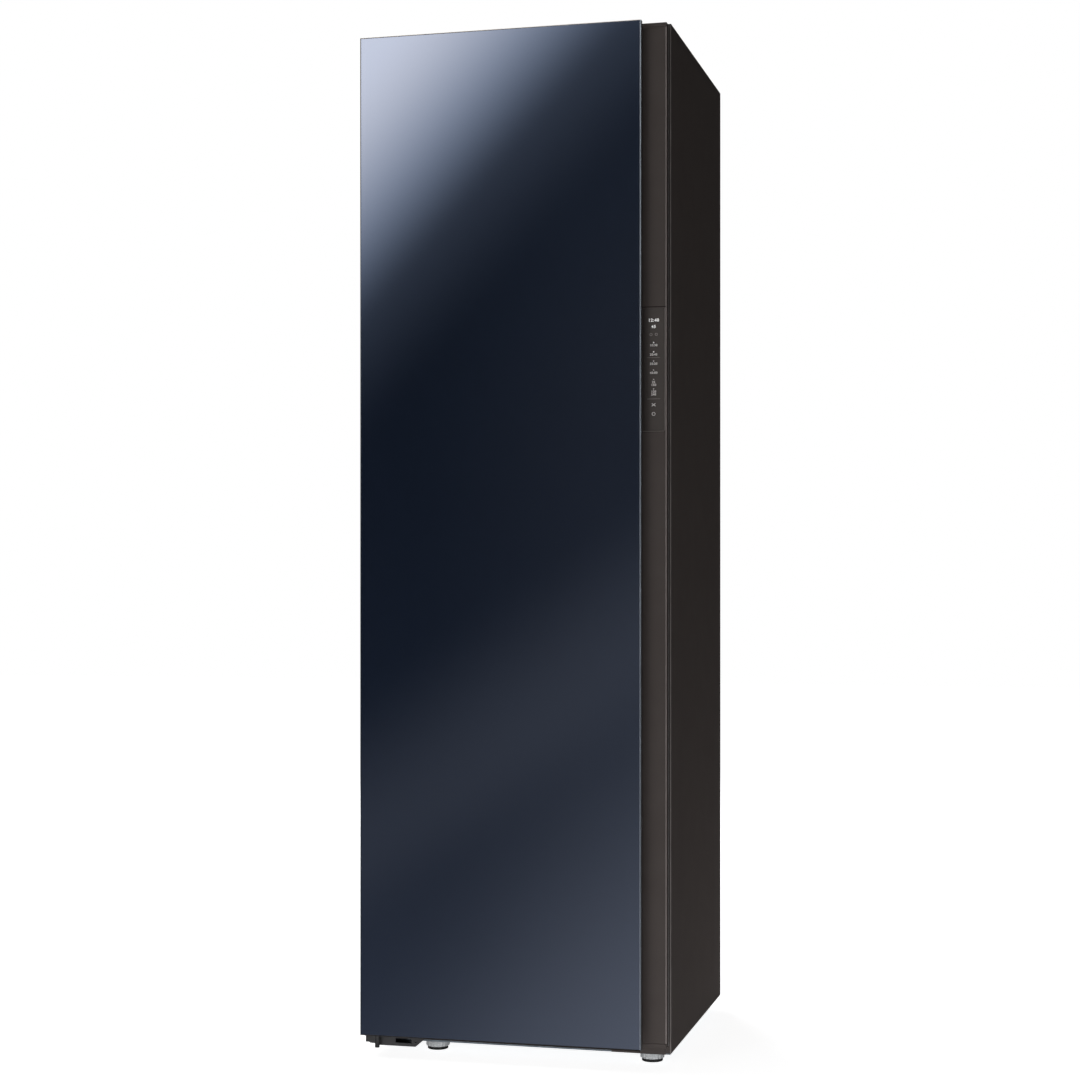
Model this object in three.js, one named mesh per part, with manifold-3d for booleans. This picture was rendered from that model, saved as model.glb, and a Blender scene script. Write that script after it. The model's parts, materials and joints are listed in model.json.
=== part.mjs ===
// Clothes care steam cabinet: a tall free-standing cabinet with one full-height glass door.
// Millimetres, +Z up. The origin is on the floor under the middle of the cabinet.
// +X runs to the right seen from the front, and the door faces -Y.

import * as THREE from "three";
import { mergeVertices } from "three/addons/utils/BufferGeometryUtils.js";
import Module from "manifold-3d";

const wasm = await Module();
wasm.setup();

// Overall size
const overallWidth = 595;
const overallDepth = 632;
const overallHeight = 1960;

// Fits, cutters and facets
const seatGap = 0.3; // between two pieces that touch
const turnGap = 0.3; // around a pin or shaft that turns
const overrun = 5; // how far a cutter passes the faces that it cuts
const roundSides = 32;
const smallSides = 16;
const curveSteps = 10;
const cornerSteps = 4;
const slotSteps = 2;

// Door
const doorThickness = 48;
const doorBottom = 40.5; // above the floor
const doorTopDrop = 3.6; // below the cabinet's top
const doorRightInset = 2.5; // door narrower than the cabinet
const sealGap = 8.7; // door's back to cabinet's front
const stripWidth = 43.5; // strip seen beside the glass
const stripSetback = 24.9; // strip behind the glass front
const stripSkin = 2;
const stripBack = 45.7; // where the strip's side wall ends
const gripReach = 34; // glass standing free over the finger channel
const gripDip = 27; // how far the channel's curve is drawn back
const gripRun = 30; // channel's curve, from the shell to the flat strip
const glassThickness = 4;
const trimFace = 1; // metal edge seen round the glass
const trimDepth = 12;
const trimLip = 9; // lip behind the glass
const trimLipThickness = 1.2;
const shellInset = 7; // shell's left side behind the glass edge
const shellSkin = 1.2;
const capHeight = 9;
const capSkin = 2.5;
const linerSkin = 2;
const plugHeight = 10; // liner's raised rim into the chamber
const plugMargin = 10.5; // inside the chamber's mouth
const plugWall = 3;
const plugSlope = 6;
const linerRibCount = 5;
const linerRibWidth = 8;
const linerRibHeight = 2;
const foamInset = 4; // foam short of the caps

// Door seal
const gasketInset = 28;
const gasketBase = 8;
const gasketBaseHeight = 2.4;
const gasketNeck = 4;
const gasketNeckHeight = 2.6;
const gasketHead = 12;

// Control panel, let into the strip
const panelWidth = 40.5;
const panelRightInset = 4.3;
const panelHeight = 229;
const panelBottom = 1191.6; // above the floor
const panelFlange = 1.2;
const panelFlangeReach = 1.6;
const panelCorner = 2;
const boardDepth = 12;
const boardWidth = 30;
const boardHeight = 190;
const boardEdge = 2;

// Pivot hinges at the left edge
const pivotInset = 27;
const pivotDepth = 22;
const pinRadius = 4.5;
const pinReach = 10; // pin inside the door's end cap
const bushWall = 2.5;
const bossWall = 4;
const upperArm = 2.5;
const upperArmLift = 0.4; // above the door's top
const hingePlate = 3.2; // highest point above the cabinet's top
const upperArmWidth = 36;
const upperArmNose = 9.5;
const upperArmBack = 62;
const upperArmStep = 6;
const lowerPinBottom = 13.8; // above the floor
const lowerArm = 3;
const lowerArmDrop = 0.4; // below the door's bottom
const lowerWallFront = 28; // bracket's front wall behind the glass front
const lowerWall = 3;
const lowerWallBottom = 17;
const lowerWallLeft = 20;
const lowerWallRight = 102;
const lowerWallSlant = 27;
const lowerFootBack = 74;
const lowerWindowLeft = 62;
const lowerWindowRight = 94;
const lowerWindowBottom = 23.4;
const lowerWindowTop = 32;
const lowerHoleInset = 1; // screw hole past the wall's bottom corner
const lowerHoleHeight = 9;
const lowerHoleRadius = 1.6;
const stopPostInset = 7;
const stopPostRadius = 3;
const stopPostBottom = 24;
const lowerWebBottom = 27.5; // web that joins the stop post and the keeper to the wall
const keeperLeft = 12;
const keeperWidth = 7;
const keeperBottom = 21.5;

// Cabinet sheets
const sheet = 1.2;
const returnWidth = 10; // folded edge of a side panel
const cabinetBottom = 24.9;
const topFlange = 14;
const beadWidth = 26;
const beadHeight = 0.8;
const beadCount = 3;
const beadInset = 60;
const serviceTop = 424;
const louvreCount = 7;
const louvreLength = 150;
const louvreHeight = 5;
const louvrePitch = 16;
const louvreBottom = 190;
const louvreSide = 24; // slots start this far from the middle
const glandRadius = 11;
const glandDimple = 5; // radius of the gland's closed recess
const glandDimpleDepth = 1.4;
const glandHeight = 110;
const glandInset = 70;
const glandProud = 1.2; // gland's collar inside the cover

// Base
const baseBottom = 22.5;
const baseSheet = 1.5;
const baseFlange = 17;
const skirtWidth = 104;

// Levelling feet
const footRadius = 23;
const footLobe = 0.7; // depth of the grip flutes
const footLobeCount = 20;
const footNeckRadius = 17.5;
const footNeckTop = 13;
const padHeight = 6;
const padRadius = 20;
const studRadius = 5;
const studReach = 22;
const footFrontDepth = 105; // behind the glass front
const footLeftInset = 124; // the hinge bracket takes the corner
const footRightInset = 45;
const footRearInset = 56;
const footNutHeight = 12;
const footNutWall = 6;

// Front frame round the chamber's mouth
const frameDepth = 12;
const frameBottom = 44;
const mouthBottom = 88;
const framePocket = 8;
const frameRim = 12;

// Garment chamber
const wallBuildUp = 47.5; // cabinet's outside to the chamber
const chamberSkin = 2.5;
const chamberFloorZ = 420;
const ceilingBay = 157; // above the chamber
const rearBuildUp = 88; // duct, foam and sheet behind the chamber
const ribCount = 4;
const ribWidth = 10;
const ribHeight = 2;
const ribEndGap = 60; // ribs short of the wall's ends
const jacketGap = 1;
const ductDepth = 54;
const ductWidth = 150;
const ductSkin = 2;
const ductOffset = 28; // duct's middle right of the cabinet's middle

// Chamber floor and lint filter
const filterWidth = 190;
const filterLength = 96;
const filterDrop = 60;
const filterFlange = 8;
const filterFlangeHeight = 4;
const filterSlotCount = 8;
const filterSlotWidth = 12;
const filterEdge = 6;
const filterGripWidth = 40;
const filterGripRise = 9;
const filterGripThickness = 5;
const filterFront = 300; // behind the cabinet's front
const filterOffset = -110;
const steamSlotCount = 6;
const steamSlotWidth = 4;
const steamSlotLength = 46;
const steamSlotPitch = 12;
const steamSlotFront = 330;
const steamSlotInset = 155; // from the chamber's right side
const returnSlotCount = 3;
const returnSlotLength = 320;
const returnSlotWidth = 6;
const returnSlotPitch = 16;
const returnSlotFront = 436;

// Ceiling
const outletCount = 3;
const outletBack = 87.3; // slots end this far in front of the rear wall
const outletWidth = 12;
const outletPitch = 130;
const outletFront = 100;
const lampLength = 190;
const lampWidth = 20;
const lampFlange = 1.5;
const lampFlangeReach = 4;
const lampFront = 40;
const plenumHeight = 138;
const plenumSkin = 2.5;
const plenumInset = 10;

// Fan above the ceiling
const jetRadius = 88;
const jetHeight = 44;
const jetLift = 16;
const jetBlades = 20;
const jetMotorRadius = 42;
const shaftRadius = 5;
const hubRadius = 13;
const bladeThickness = 1.8;
const bladeChord = 15;
const bladeSweep = 0.16; // turn between a blade's inner and outer edge, in radians
const bladeSteps = 2;
const fanPlate = 2;
const hubGap = 6; // fan's back plate to its motor

// Hanger rail and hangers
const railRadius = 11;
const railBelow = 66; // rail's middle below the ceiling
const railSocketWall = 5;
const railSocketDepth = 14;
const hangerCount = 3;
const hangerPitch = 140;
const hangerWidth = 400;
const hangerThickness = 14;
const hangerCrest = 62; // rail's middle down to the shoulders' crest
const hangerFall = 78; // crest down to the shoulders' ends
const hangerEase = 60; // flat stretch of the shoulders beside the neck
const hangerBar = 16;
const hookThickness = 6;
const hookWidth = 8;
const hookTail = 12; // hook's sides run on below the rail's middle
const hookReturn = 20; // height in which the hook comes back under the rail
const hookSteps = 12;

// Tank bay and tanks
const bayDepth = 176;
const bayTopDrop = 8;
const bayPartition = 10;
const tankSetback = 38; // tank's front behind the cabinet's front
const tankGap = 4;
const tankHeight = 214;
const tankDepth = 128;
const tankCorner = 14;
const tankPullWidth = 96;
const tankPullHeight = 30;
const tankPullDepth = 22;
const tankPullDrop = 26;
const tankPullCorner = 7.5;
const tankCapRadius = 19;
const tankCapHeight = 8;

// Machine bay
const compressorInset = 110; // from the cabinet's left side
const compressorBack = 150; // from the cabinet's back
const compressorRadius = 62;
const compressorHeight = 178;
const compressorDome = 26;
const compressorPlate = 3;
const compressorPlateHalf = 70;
const compressorCorner = 12;
const grommetRadius = 9;
const grommetHeight = 9;
const compressorPort = 6;
const compressorPortReach = 34;
const coilInset = 48; // from the cabinet's left side
const coilGap = 8; // coil's back to the compressor's plate
const coilWidth = 200;
const coilDepth = 60;
const coilHeight = 132;
const coilFinCount = 14;
const coilFin = 2.4;
const coilCore = 12;
const coilTray = 16;
const blowerRadius = 76;
const blowerGrowth = 26;
const blowerSkin = 2;
const blowerInlet = 46;
const blowerRise = 148; // fan's middle above the base
const blowerBlades = 20;
const blowerWheelRadius = 66;
const blowerWheelDepth = 40;
const blowerWheelGap = 4; // back plate to the housing's back
const blowerMotorRadius = 38;
const blowerMotorDepth = 25;
const blowerFootWidth = 40;
const scrollStart = 2.27; // angle of the housing's tongue, in radians
const scrollSteps = 24;
const steamTankWidth = 120;
const steamTankDepth = 78;
const steamTankHeight = 96;
const steamTankCorner = 14;
const steamPort = 9;
const steamInlet = 5;
const steamInletReach = 20;
const pumpInset = 98; // from the cabinet's right side
const pumpFront = 230;
const pumpRadius = 26;
const pumpHeight = 62;
const pumpPort = 5;
const pumpPortReach = 20;

// Places worked out from the sizes
const halfWidth = overallWidth / 2;
const frontY = -overallDepth / 2;
const cabinetTop = overallHeight - hingePlate;
const doorTop = cabinetTop - doorTopDrop;
const doorHeight = doorTop - doorBottom;
const doorWidth = overallWidth - doorRightInset;
const glassRight = doorWidth - stripWidth;
const shellRight = glassRight - gripReach;
const shellFront = glassThickness + trimLipThickness + 2 * seatGap;
const linerFront = doorThickness - linerSkin;
const cabinetFront = doorThickness + sealGap; // behind the glass front
const cabinetDepth = overallDepth - cabinetFront;
const chamberHalf = halfWidth - wallBuildUp;
const chamberBack = cabinetDepth - rearBuildUp;
const chamberTopZ = cabinetTop - ceilingBay;
const baseTop = baseBottom + baseSheet;
const innerHalf = halfWidth - sheet - seatGap;
const panelDepth = cabinetDepth - sheet - seatGap;
const pinHole = pinRadius + turnGap;
const bushRadius = pinHole + bushWall;
const gasketHeight = sealGap - 2 * seatGap;
const capInset = trimFace + seatGap; // end caps inside the glass edge
const stripWall = shellRight + seatGap; // strip's wall beside the shell
const mouthTop = chamberTopZ;
const railZ = chamberTopZ - railBelow;
const railY = chamberBack / 2;
const chamberFront = frameDepth + seatGap;
const chamberOut = chamberHalf + chamberSkin;
const bayTop = chamberFloorZ - bayTopDrop;
const wallBottom = bayTop + chamberSkin + seatGap;
const ductFront = chamberBack + chamberSkin + seatGap;
const ductBack = ductFront + ductDepth;
const ductSides = [ductOffset - ductWidth / 2, ductOffset + ductWidth / 2];
const restZ = baseTop + seatGap; // underside of what stands on the base
const plenumBottom = mouthTop + chamberSkin + seatGap;
const fanY = ductBack / 2;
const steamSlotLeft = chamberHalf - steamSlotInset;
const steamX = steamSlotLeft + (steamSlotPitch * (steamSlotCount - 1)) / 2;
const compressorY = cabinetDepth - compressorBack;
const coilY = compressorY - compressorPlateHalf - coilGap - coilDepth;

// Solids

// Only positions count: shared corners are merged and flat triangles dropped.
function cleaned(geometry) {
  geometry.deleteAttribute("normal");
  geometry.deleteAttribute("uv");
  const merged = mergeVertices(geometry);
  const index = merged.index.array;
  const kept = [];
  for (let i = 0; i < index.length; i += 3) {
    const [a, b, c] = [index[i], index[i + 1], index[i + 2]];
    if (a !== b && b !== c && c !== a) {
      kept.push(a, b, c);
    }
  }
  merged.setIndex(kept);
  return facesOut(merged);
}

// Turns every triangle round when the faces point inward.
function facesOut(geometry) {
  const position = geometry.attributes.position;
  const index = geometry.index.array;
  const [a, b, c] = [new THREE.Vector3(), new THREE.Vector3(), new THREE.Vector3()];
  let volume = 0;
  for (let i = 0; i < index.length; i += 3) {
    a.fromBufferAttribute(position, index[i]);
    b.fromBufferAttribute(position, index[i + 1]);
    c.fromBufferAttribute(position, index[i + 2]);
    volume += a.dot(b.cross(c));
  }
  if (volume < 0) {
    for (let i = 0; i < index.length; i += 3) {
      [index[i], index[i + 1]] = [index[i + 1], index[i]];
    }
  }
  return geometry;
}

function toSolid(geometry) {
  const clean = cleaned(geometry);
  const vertProperties = new Float32Array(clean.attributes.position.array);
  const triVerts = new Uint32Array(clean.index.array);
  return new wasm.Manifold(new wasm.Mesh({ numProp: 3, vertProperties, triVerts }));
}

function fromSolid(solid) {
  const { vertProperties, triVerts } = solid.getMesh();
  const geometry = new THREE.BufferGeometry();
  geometry.setAttribute("position", new THREE.BufferAttribute(vertProperties, 3));
  geometry.setIndex(new THREE.BufferAttribute(triVerts, 1));
  return geometry;
}

function join(first, ...others) {
  return fromSolid(others.reduce((solid, other) => solid.add(toSolid(other)), toSolid(first)));
}

function cut(body, ...cutters) {
  return fromSolid(cutters.reduce((solid, cutter) => solid.subtract(toSolid(cutter)), toSolid(body)));
}

// Box between pairs of faces
function block([x0, x1], [y0, y1], [z0, z1]) {
  const geometry = new THREE.BoxGeometry(x1 - x0, y1 - y0, z1 - z0);
  return geometry.translate((x0 + x1) / 2, (y0 + y1) / 2, (z0 + z1) / 2);
}

// Outline of [a, b] points run along an axis between two faces
function prism(points, low, high) {
  const shape = new THREE.Shape(points.map(([a, b]) => new THREE.Vector2(a, b)));
  const geometry = new THREE.ExtrudeGeometry(shape, { depth: high - low, bevelEnabled: false });
  return geometry.translate(0, 0, low);
}

// Outline in x and y, run up
function prismZ(points, [z0, z1]) {
  return prism(points, z0, z1);
}

// Outline in x and z, run back
function prismY(points, [y0, y1]) {
  return prism(points, -y1, -y0).rotateX(Math.PI / 2);
}

// Outline in y and z, run to the right
function prismX(points, [x0, x1]) {
  const turn = new THREE.Matrix4().makeBasis(axisY, axisZ, axisX);
  return prism(points, x0, x1).applyMatrix4(turn);
}

const axisX = new THREE.Vector3(1, 0, 0);
const axisY = new THREE.Vector3(0, 1, 0);
const axisZ = new THREE.Vector3(0, 0, 1);

// Profile of [radius, height] points turned about an upright axis
function turned(profile, x, y, sides) {
  const points = profile.map(([radius, height]) => new THREE.Vector2(radius, height));
  return new THREE.LatheGeometry(points, sides).rotateX(Math.PI / 2).translate(x, y, 0);
}

function disc(radius, x, y, [z0, z1], sides = roundSides) {
  return turned([[0, z0], [radius, z0], [radius, z1], [0, z1]], x, y, sides);
}

// Round bar along the x axis
function barX(radius, [x0, x1], y, z, sides = roundSides) {
  return disc(radius, 0, 0, [x0, x1], sides).rotateY(Math.PI / 2).translate(0, y, z);
}

// Round bar along the y axis
function barY(radius, x, [y0, y1], z, sides = roundSides) {
  return disc(radius, 0, 0, [-y1, -y0], sides).rotateX(Math.PI / 2).translate(x, 0, z);
}

// Rectangle of [a, b] points with rounded corners
function roundedRectangle([a0, a1], [b0, b1], radius, steps = cornerSteps) {
  const corners = [
    [a1 - radius, b0 + radius, -Math.PI / 2],
    [a1 - radius, b1 - radius, 0],
    [a0 + radius, b1 - radius, Math.PI / 2],
    [a0 + radius, b0 + radius, Math.PI],
  ];
  return corners.flatMap(([a, b, start]) => arc(a, b, radius, start, start + Math.PI / 2, steps));
}

// Points on a circle from one angle to another
function arc(a, b, radius, start, end, steps) {
  return Array.from({ length: steps + 1 }, (_, i) => {
    const angle = start + ((end - start) * i) / steps;
    return [a + radius * Math.cos(angle), b + radius * Math.sin(angle)];
  });
}

// Open line moved sideways to its left by a distance
function offsetLine(points, distance) {
  return points.map(([a, b], i) => {
    const [a0, b0] = points[Math.max(i - 1, 0)];
    const [a1, b1] = points[Math.min(i + 1, points.length - 1)];
    const length = Math.hypot(a1 - a0, b1 - b0);
    return [a - (distance * (b1 - b0)) / length, b + (distance * (a1 - a0)) / length];
  });
}

function finish(color, roughness, metalness) {
  return new THREE.MeshStandardMaterial({ color, roughness, metalness, flatShading: true });
}

function addPiece(group, name, geometry, material) {
  const mesh = new THREE.Mesh(cleaned(geometry), material);
  mesh.name = name;
  group.add(mesh);
  return mesh;
}

// Finishes
const navyGlass = () => finish(0x1c2431, 0.05, 0.1);
const paleTrim = () => finish(0x8a8580, 0.35, 1);
const darkTrim = () => finish(0x2a2726, 0.4, 0.8);
const brightTrim = () => finish(0x7e8794, 0.25, 1);
const brownPaint = () => finish(0x3a3635, 0.5, 0.2);
const blackPlastic = () => finish(0x222224, 0.5, 0);
const greyPlastic = () => finish(0x8f9295, 0.55, 0);
const whitePlastic = () => finish(0xd9dadb, 0.5, 0);
const galvanised = () => finish(0x6b737a, 0.4, 0.9);
const paleMetal = () => finish(0xa9abad, 0.45, 0.8);
const blackRubber = () => finish(0x161616, 0.9, 0);
const foam = () => finish(0xe8e8e4, 0.95, 0);
const clearTank = () => finish(0x9fb2bf, 0.2, 0);
const finAluminium = () => finish(0xb8babc, 0.4, 1);
const castAluminium = () => finish(0x9a9c9e, 0.6, 0.9);

// Door. In its group x runs from the glass's left edge, y back from the glass and z up from the
// glass's bottom edge.

// Finger channel beside the shell, from its upright wall to the flat strip
function channelCurve() {
  const start = new THREE.Vector2(stripWall + stripSkin, stripSetback + stripSkin);
  const end = new THREE.Vector2(shellRight + gripRun, stripSetback);
  const dip = new THREE.Vector2(start.x, start.y + gripDip);
  const ease = new THREE.Vector2((start.x + end.x) / 2, end.y);
  const curve = new THREE.CubicBezierCurve(start, dip, ease, end);
  return curve.getPoints(curveSteps).map((point) => [point.x, point.y]);
}

// Plan of the door behind the glass, drawn in by an inset
function doorPlan(inset) {
  const front = shellFront + inset;
  const left = shellInset + inset;
  const back = stripBack - inset;
  const curve = offsetLine(channelCurve(), inset);
  const right = doorWidth - inset;
  return [[left, front], [stripWall + stripSkin - inset, front], ...curve,
    [right, stripSetback + inset], [right, back], [left, back]];
}

const bodySpan = [capHeight + seatGap, doorHeight - capHeight - seatGap];

function doorGlass() {
  const inset = trimFace + seatGap;
  return block([inset, glassRight - inset], [0, glassThickness], [inset, doorHeight - inset]);
}

const ordered = (low, high) => [Math.min(low, high), Math.max(low, high)];
const lipDepths = [glassThickness + seatGap, glassThickness + seatGap + trimLipThickness];

// Metal angle along a side of the glass: a thin edge in front and a lip behind the glass
function sideTrim(edge, inward) {
  const end = trimFace + seatGap;
  const face = block(ordered(edge, edge + inward * trimFace), [0, trimDepth], [0, doorHeight]);
  const lip = block(ordered(edge, edge + inward * (trimFace + trimLip)), lipDepths, [end, doorHeight - end]);
  return join(face, lip);
}

// The same angle along the top or bottom, its lip kept clear of the side lips
function endTrim(edge, inward) {
  const side = trimFace + seatGap;
  const lipSide = side + trimLip;
  const face = block([side, glassRight - side], [0, trimDepth], ordered(edge, edge + inward * trimFace));
  const lip = block([lipSide, glassRight - lipSide], lipDepths,
    ordered(edge, edge + inward * (trimFace + trimLip)));
  return join(face, lip);
}

// Folded sheet behind the glass, open at the back
function doorShell() {
  const outer = block([shellInset, shellRight], [shellFront, stripBack], bodySpan);
  const inner = block([shellInset + shellSkin, shellRight - shellSkin],
    [shellFront + shellSkin, stripBack + overrun], [bodySpan[0] - overrun, bodySpan[1] + overrun]);
  return cut(outer, inner);
}

function doorFoam() {
  const gap = shellSkin + seatGap;
  return block([shellInset + gap, shellRight - gap], [shellFront + gap, stripBack],
    [bodySpan[0] + foamInset, bodySpan[1] - foamInset]);
}

const panelRight = doorWidth - panelRightInset;
const panelLeft = panelRight - panelWidth;
const panelSpan = [panelBottom - doorBottom, panelBottom - doorBottom + panelHeight];

// Drawn profile of the strip: finger channel, flat front and side wall in one skin
function gripStrip() {
  const curve = channelCurve();
  const skin = offsetLine(curve, stripSkin);
  const inside = doorWidth - stripSkin;
  const outline = [[stripWall, shellFront], [stripWall + stripSkin, shellFront], ...curve,
    [doorWidth, stripSetback], [doorWidth, stripBack], [inside, stripBack],
    [inside, stripSetback + stripSkin], ...skin.reverse()];
  const window = roundedRectangle([panelLeft, panelRight], panelSpan, panelCorner);
  const depths = [stripSetback - overrun, stripSetback + stripSkin + overrun];
  return cut(prismZ(outline, bodySpan), prismY(window, depths));
}

// Touch panel: a face flush with the strip, a flange behind the window's edge and a closed
// electronics box on its back
function controlPanel() {
  const [low, high] = panelSpan;
  const face = roundedRectangle([panelLeft + seatGap, panelRight - seatGap],
    [low + seatGap, high - seatGap], panelCorner - seatGap);
  const back = stripSetback + stripSkin + seatGap;
  const flange = roundedRectangle([panelLeft - panelFlangeReach, panelRight + panelFlangeReach],
    [low - panelFlangeReach, high + panelFlangeReach], panelCorner);
  const middle = (panelLeft + panelRight) / 2;
  const height = (low + high) / 2;
  const box = roundedRectangle([middle - boardWidth / 2, middle + boardWidth / 2],
    [height - boardHeight / 2, height + boardHeight / 2], boardEdge);
  return join(prismY(face, [stripSetback, back + panelFlange]), prismY(flange, [back, back + panelFlange]),
    prismY(box, [back, back + boardDepth]));
}

// Moulded end cap with the boss that holds the hinge bush
function doorCap() {
  const outer = prismZ(doorPlan(0), [capInset, capHeight]);
  const pocket = prismZ(doorPlan(capSkin), [capInset + capSkin, capHeight + overrun]);
  const boss = disc(bushRadius + seatGap + bossWall, pivotInset, pivotDepth, [capInset, capHeight]);
  const bore = disc(bushRadius + seatGap, pivotInset, pivotDepth, [-overrun, capHeight + overrun]);
  return cut(join(cut(outer, pocket), boss), bore);
}

// The same piece turned over for the top, so its plan stays the right way round
function turnedOver(geometry) {
  return geometry.scale(1, 1, -1).translate(0, 0, doorHeight);
}

// Plain bush for the hinge pin with a flange against the bracket's arm
function hingeBush() {
  const flangeTop = capInset - seatGap;
  const flange = bushRadius + bushWall;
  const profile = [[pinHole, 0], [flange, 0], [flange, flangeTop], [bushRadius, flangeTop],
    [bushRadius, capHeight], [pinHole, capHeight], [pinHole, 0]];
  return turned(profile, pivotInset, pivotDepth, smallSides);
}

// Block whose back face is drawn in on all four sides
function draftedBlock(xs, ys, zs, draft) {
  const geometry = block(xs, ys, zs);
  const position = geometry.attributes.position;
  const [middleX, middleY, middleZ] = [xs, ys, zs].map(([low, high]) => (low + high) / 2);
  for (let i = 0; i < position.count; i += 1) {
    if (position.getY(i) > middleY) {
      position.setX(i, position.getX(i) - draft * Math.sign(position.getX(i) - middleX));
      position.setZ(i, position.getZ(i) - draft * Math.sign(position.getZ(i) - middleZ));
    }
  }
  return geometry;
}

const plugX = [wallBuildUp + plugMargin, overallWidth - wallBuildUp - plugMargin];
const plugZ = [mouthBottom - doorBottom + plugMargin, mouthTop - doorBottom - plugMargin];
const plugRim = plugWall + plugSlope;

// Door's inner skin: a flat cover with upright ribs
function doorLiner() {
  const zs = [capInset, doorHeight - capInset];
  const cover = block([shellInset, doorWidth], [linerFront, doorThickness], zs);
  const [low, high] = [plugX[0] + plugRim, plugX[1] - plugRim];
  const pitch = (high - low) / (linerRibCount + 1);
  const ribZ = [plugZ[0] + plugRim + plugMargin, plugZ[1] - plugRim - plugMargin];
  const ribs = Array.from({ length: linerRibCount }, (_, i) => {
    const middle = low + pitch * (i + 1);
    const xs = [middle - linerRibWidth / 2, middle + linerRibWidth / 2];
    return draftedBlock(xs, [linerFront, doorThickness + linerRibHeight], ribZ, linerRibHeight);
  });
  return join(cover, ...ribs);
}

// Raised frame on the liner that plugs the chamber's mouth, sloped outside and upright inside
function plugFrame() {
  const ys = [doorThickness + seatGap, doorThickness + plugHeight];
  const dish = block([plugX[0] + plugRim, plugX[1] - plugRim], [ys[0] - overrun, ys[1] + overrun],
    [plugZ[0] + plugRim, plugZ[1] - plugRim]);
  return cut(draftedBlock(plugX, ys, plugZ, plugSlope), dish);
}

// Rectangular ring of a given width and depth round the door's back
function sealRing(width, ys) {
  const shift = (gasketHead - width) / 2;
  const low = gasketInset + shift;
  const right = doorWidth - low;
  const top = doorHeight - low;
  const outer = block([low, right], ys, [low, top]);
  const passed = [ys[0] - overrun, ys[1] + overrun];
  return cut(outer, block([low + width, right - width], passed, [low + width, top - width]));
}

// Magnetic seal: base strip, narrow bellows neck and flat head
function doorGasket() {
  const start = doorThickness + seatGap;
  const neck = start + gasketBaseHeight;
  const head = neck + gasketNeckHeight;
  const bond = (head - neck) / curveSteps;
  return join(sealRing(gasketBase, [start, neck]), sealRing(gasketNeck, [neck - bond, head + bond]),
    sealRing(gasketHead, [head, start + gasketHeight]));
}

function buildDoor() {
  const door = new THREE.Group();
  door.position.set(-halfWidth, frontY, doorBottom);
  addPiece(door, "door_glass", doorGlass(), navyGlass());
  addPiece(door, "door_trim_left", sideTrim(0, 1), darkTrim());
  addPiece(door, "door_trim_right", sideTrim(glassRight, -1), brightTrim());
  addPiece(door, "door_trim_bottom", endTrim(0, 1), darkTrim());
  addPiece(door, "door_trim_top", endTrim(doorHeight, -1), paleTrim());
  addPiece(door, "door_shell", doorShell(), brownPaint());
  addPiece(door, "door_foam", doorFoam(), foam());
  addPiece(door, "door_grip_strip", gripStrip(), brownPaint());
  addPiece(door, "control_panel", controlPanel(), blackPlastic());
  addPiece(door, "door_cap_bottom", doorCap(), brownPaint());
  addPiece(door, "door_cap_top", turnedOver(doorCap()), brownPaint());
  addPiece(door, "door_bush_lower", hingeBush(), whitePlastic());
  addPiece(door, "door_bush_upper", turnedOver(hingeBush()), whitePlastic());
  addPiece(door, "door_liner", doorLiner(), greyPlastic());
  addPiece(door, "door_plug_frame", plugFrame(), greyPlastic());
  addPiece(door, "door_gasket", doorGasket(), blackRubber());
  return door;
}

// Cabinet. In its group x runs from the middle, y back from the cabinet's front and z up from the
// floor.

const pivotX = pivotInset - halfWidth;
const pivotY = pivotDepth - cabinetFront;

function common(first, second) {
  return fromSolid(toSolid(first).intersect(toSolid(second)));
}

// Folded side sheet with a return at its front and back edges
function sidePanel(side) {
  const [outside, inside] = [side * halfWidth, side * (halfWidth - sheet)];
  const fold = side * (halfWidth - returnWidth);
  const outline = [[outside, 0], [outside, panelDepth], [fold, panelDepth], [fold, panelDepth - sheet],
    [inside, panelDepth - sheet], [inside, sheet], [fold, sheet], [fold, 0]];
  return prismZ(outline, [cabinetBottom, cabinetTop - sheet - seatGap]);
}

// Lid sheet with a flange inside each side panel
function topPanel() {
  const lid = block([-halfWidth, halfWidth], [0, cabinetDepth], [cabinetTop - sheet, cabinetTop]);
  const ys = [frameDepth + seatGap, panelDepth - sheet - seatGap];
  const zs = [cabinetTop - topFlange, cabinetTop];
  const flanges = [-1, 1].map((side) => {
    const xs = ordered(side * innerHalf, side * (innerHalf - sheet));
    return block(xs, ys, zs);
  });
  return join(lid, ...flanges);
}

// Back sheet, stiffened by beads pressed inward
function backPanel() {
  const [low, high] = [serviceTop + seatGap, cabinetTop - sheet - seatGap];
  const inner = cabinetDepth - sheet;
  const body = block([-halfWidth, halfWidth], [inner, cabinetDepth], [low, high]);
  const reach = halfWidth - beadInset;
  const pitch = (high - low) / (beadCount + 1);
  const rows = Array.from({ length: beadCount }, (_, i) => low + pitch * (i + 1));
  const humps = rows.map((z) => block([-reach, reach], [inner - beadHeight, cabinetDepth],
    [z - beadWidth / 2, z + beadWidth / 2]));
  const dips = rows.map((z) => block([sheet - reach, reach - sheet], [cabinetDepth - beadHeight,
    cabinetDepth + overrun], [z - beadWidth / 2 + sheet, z + beadWidth / 2 - sheet]));
  return cut(join(body, ...humps), ...dips);
}

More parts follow.
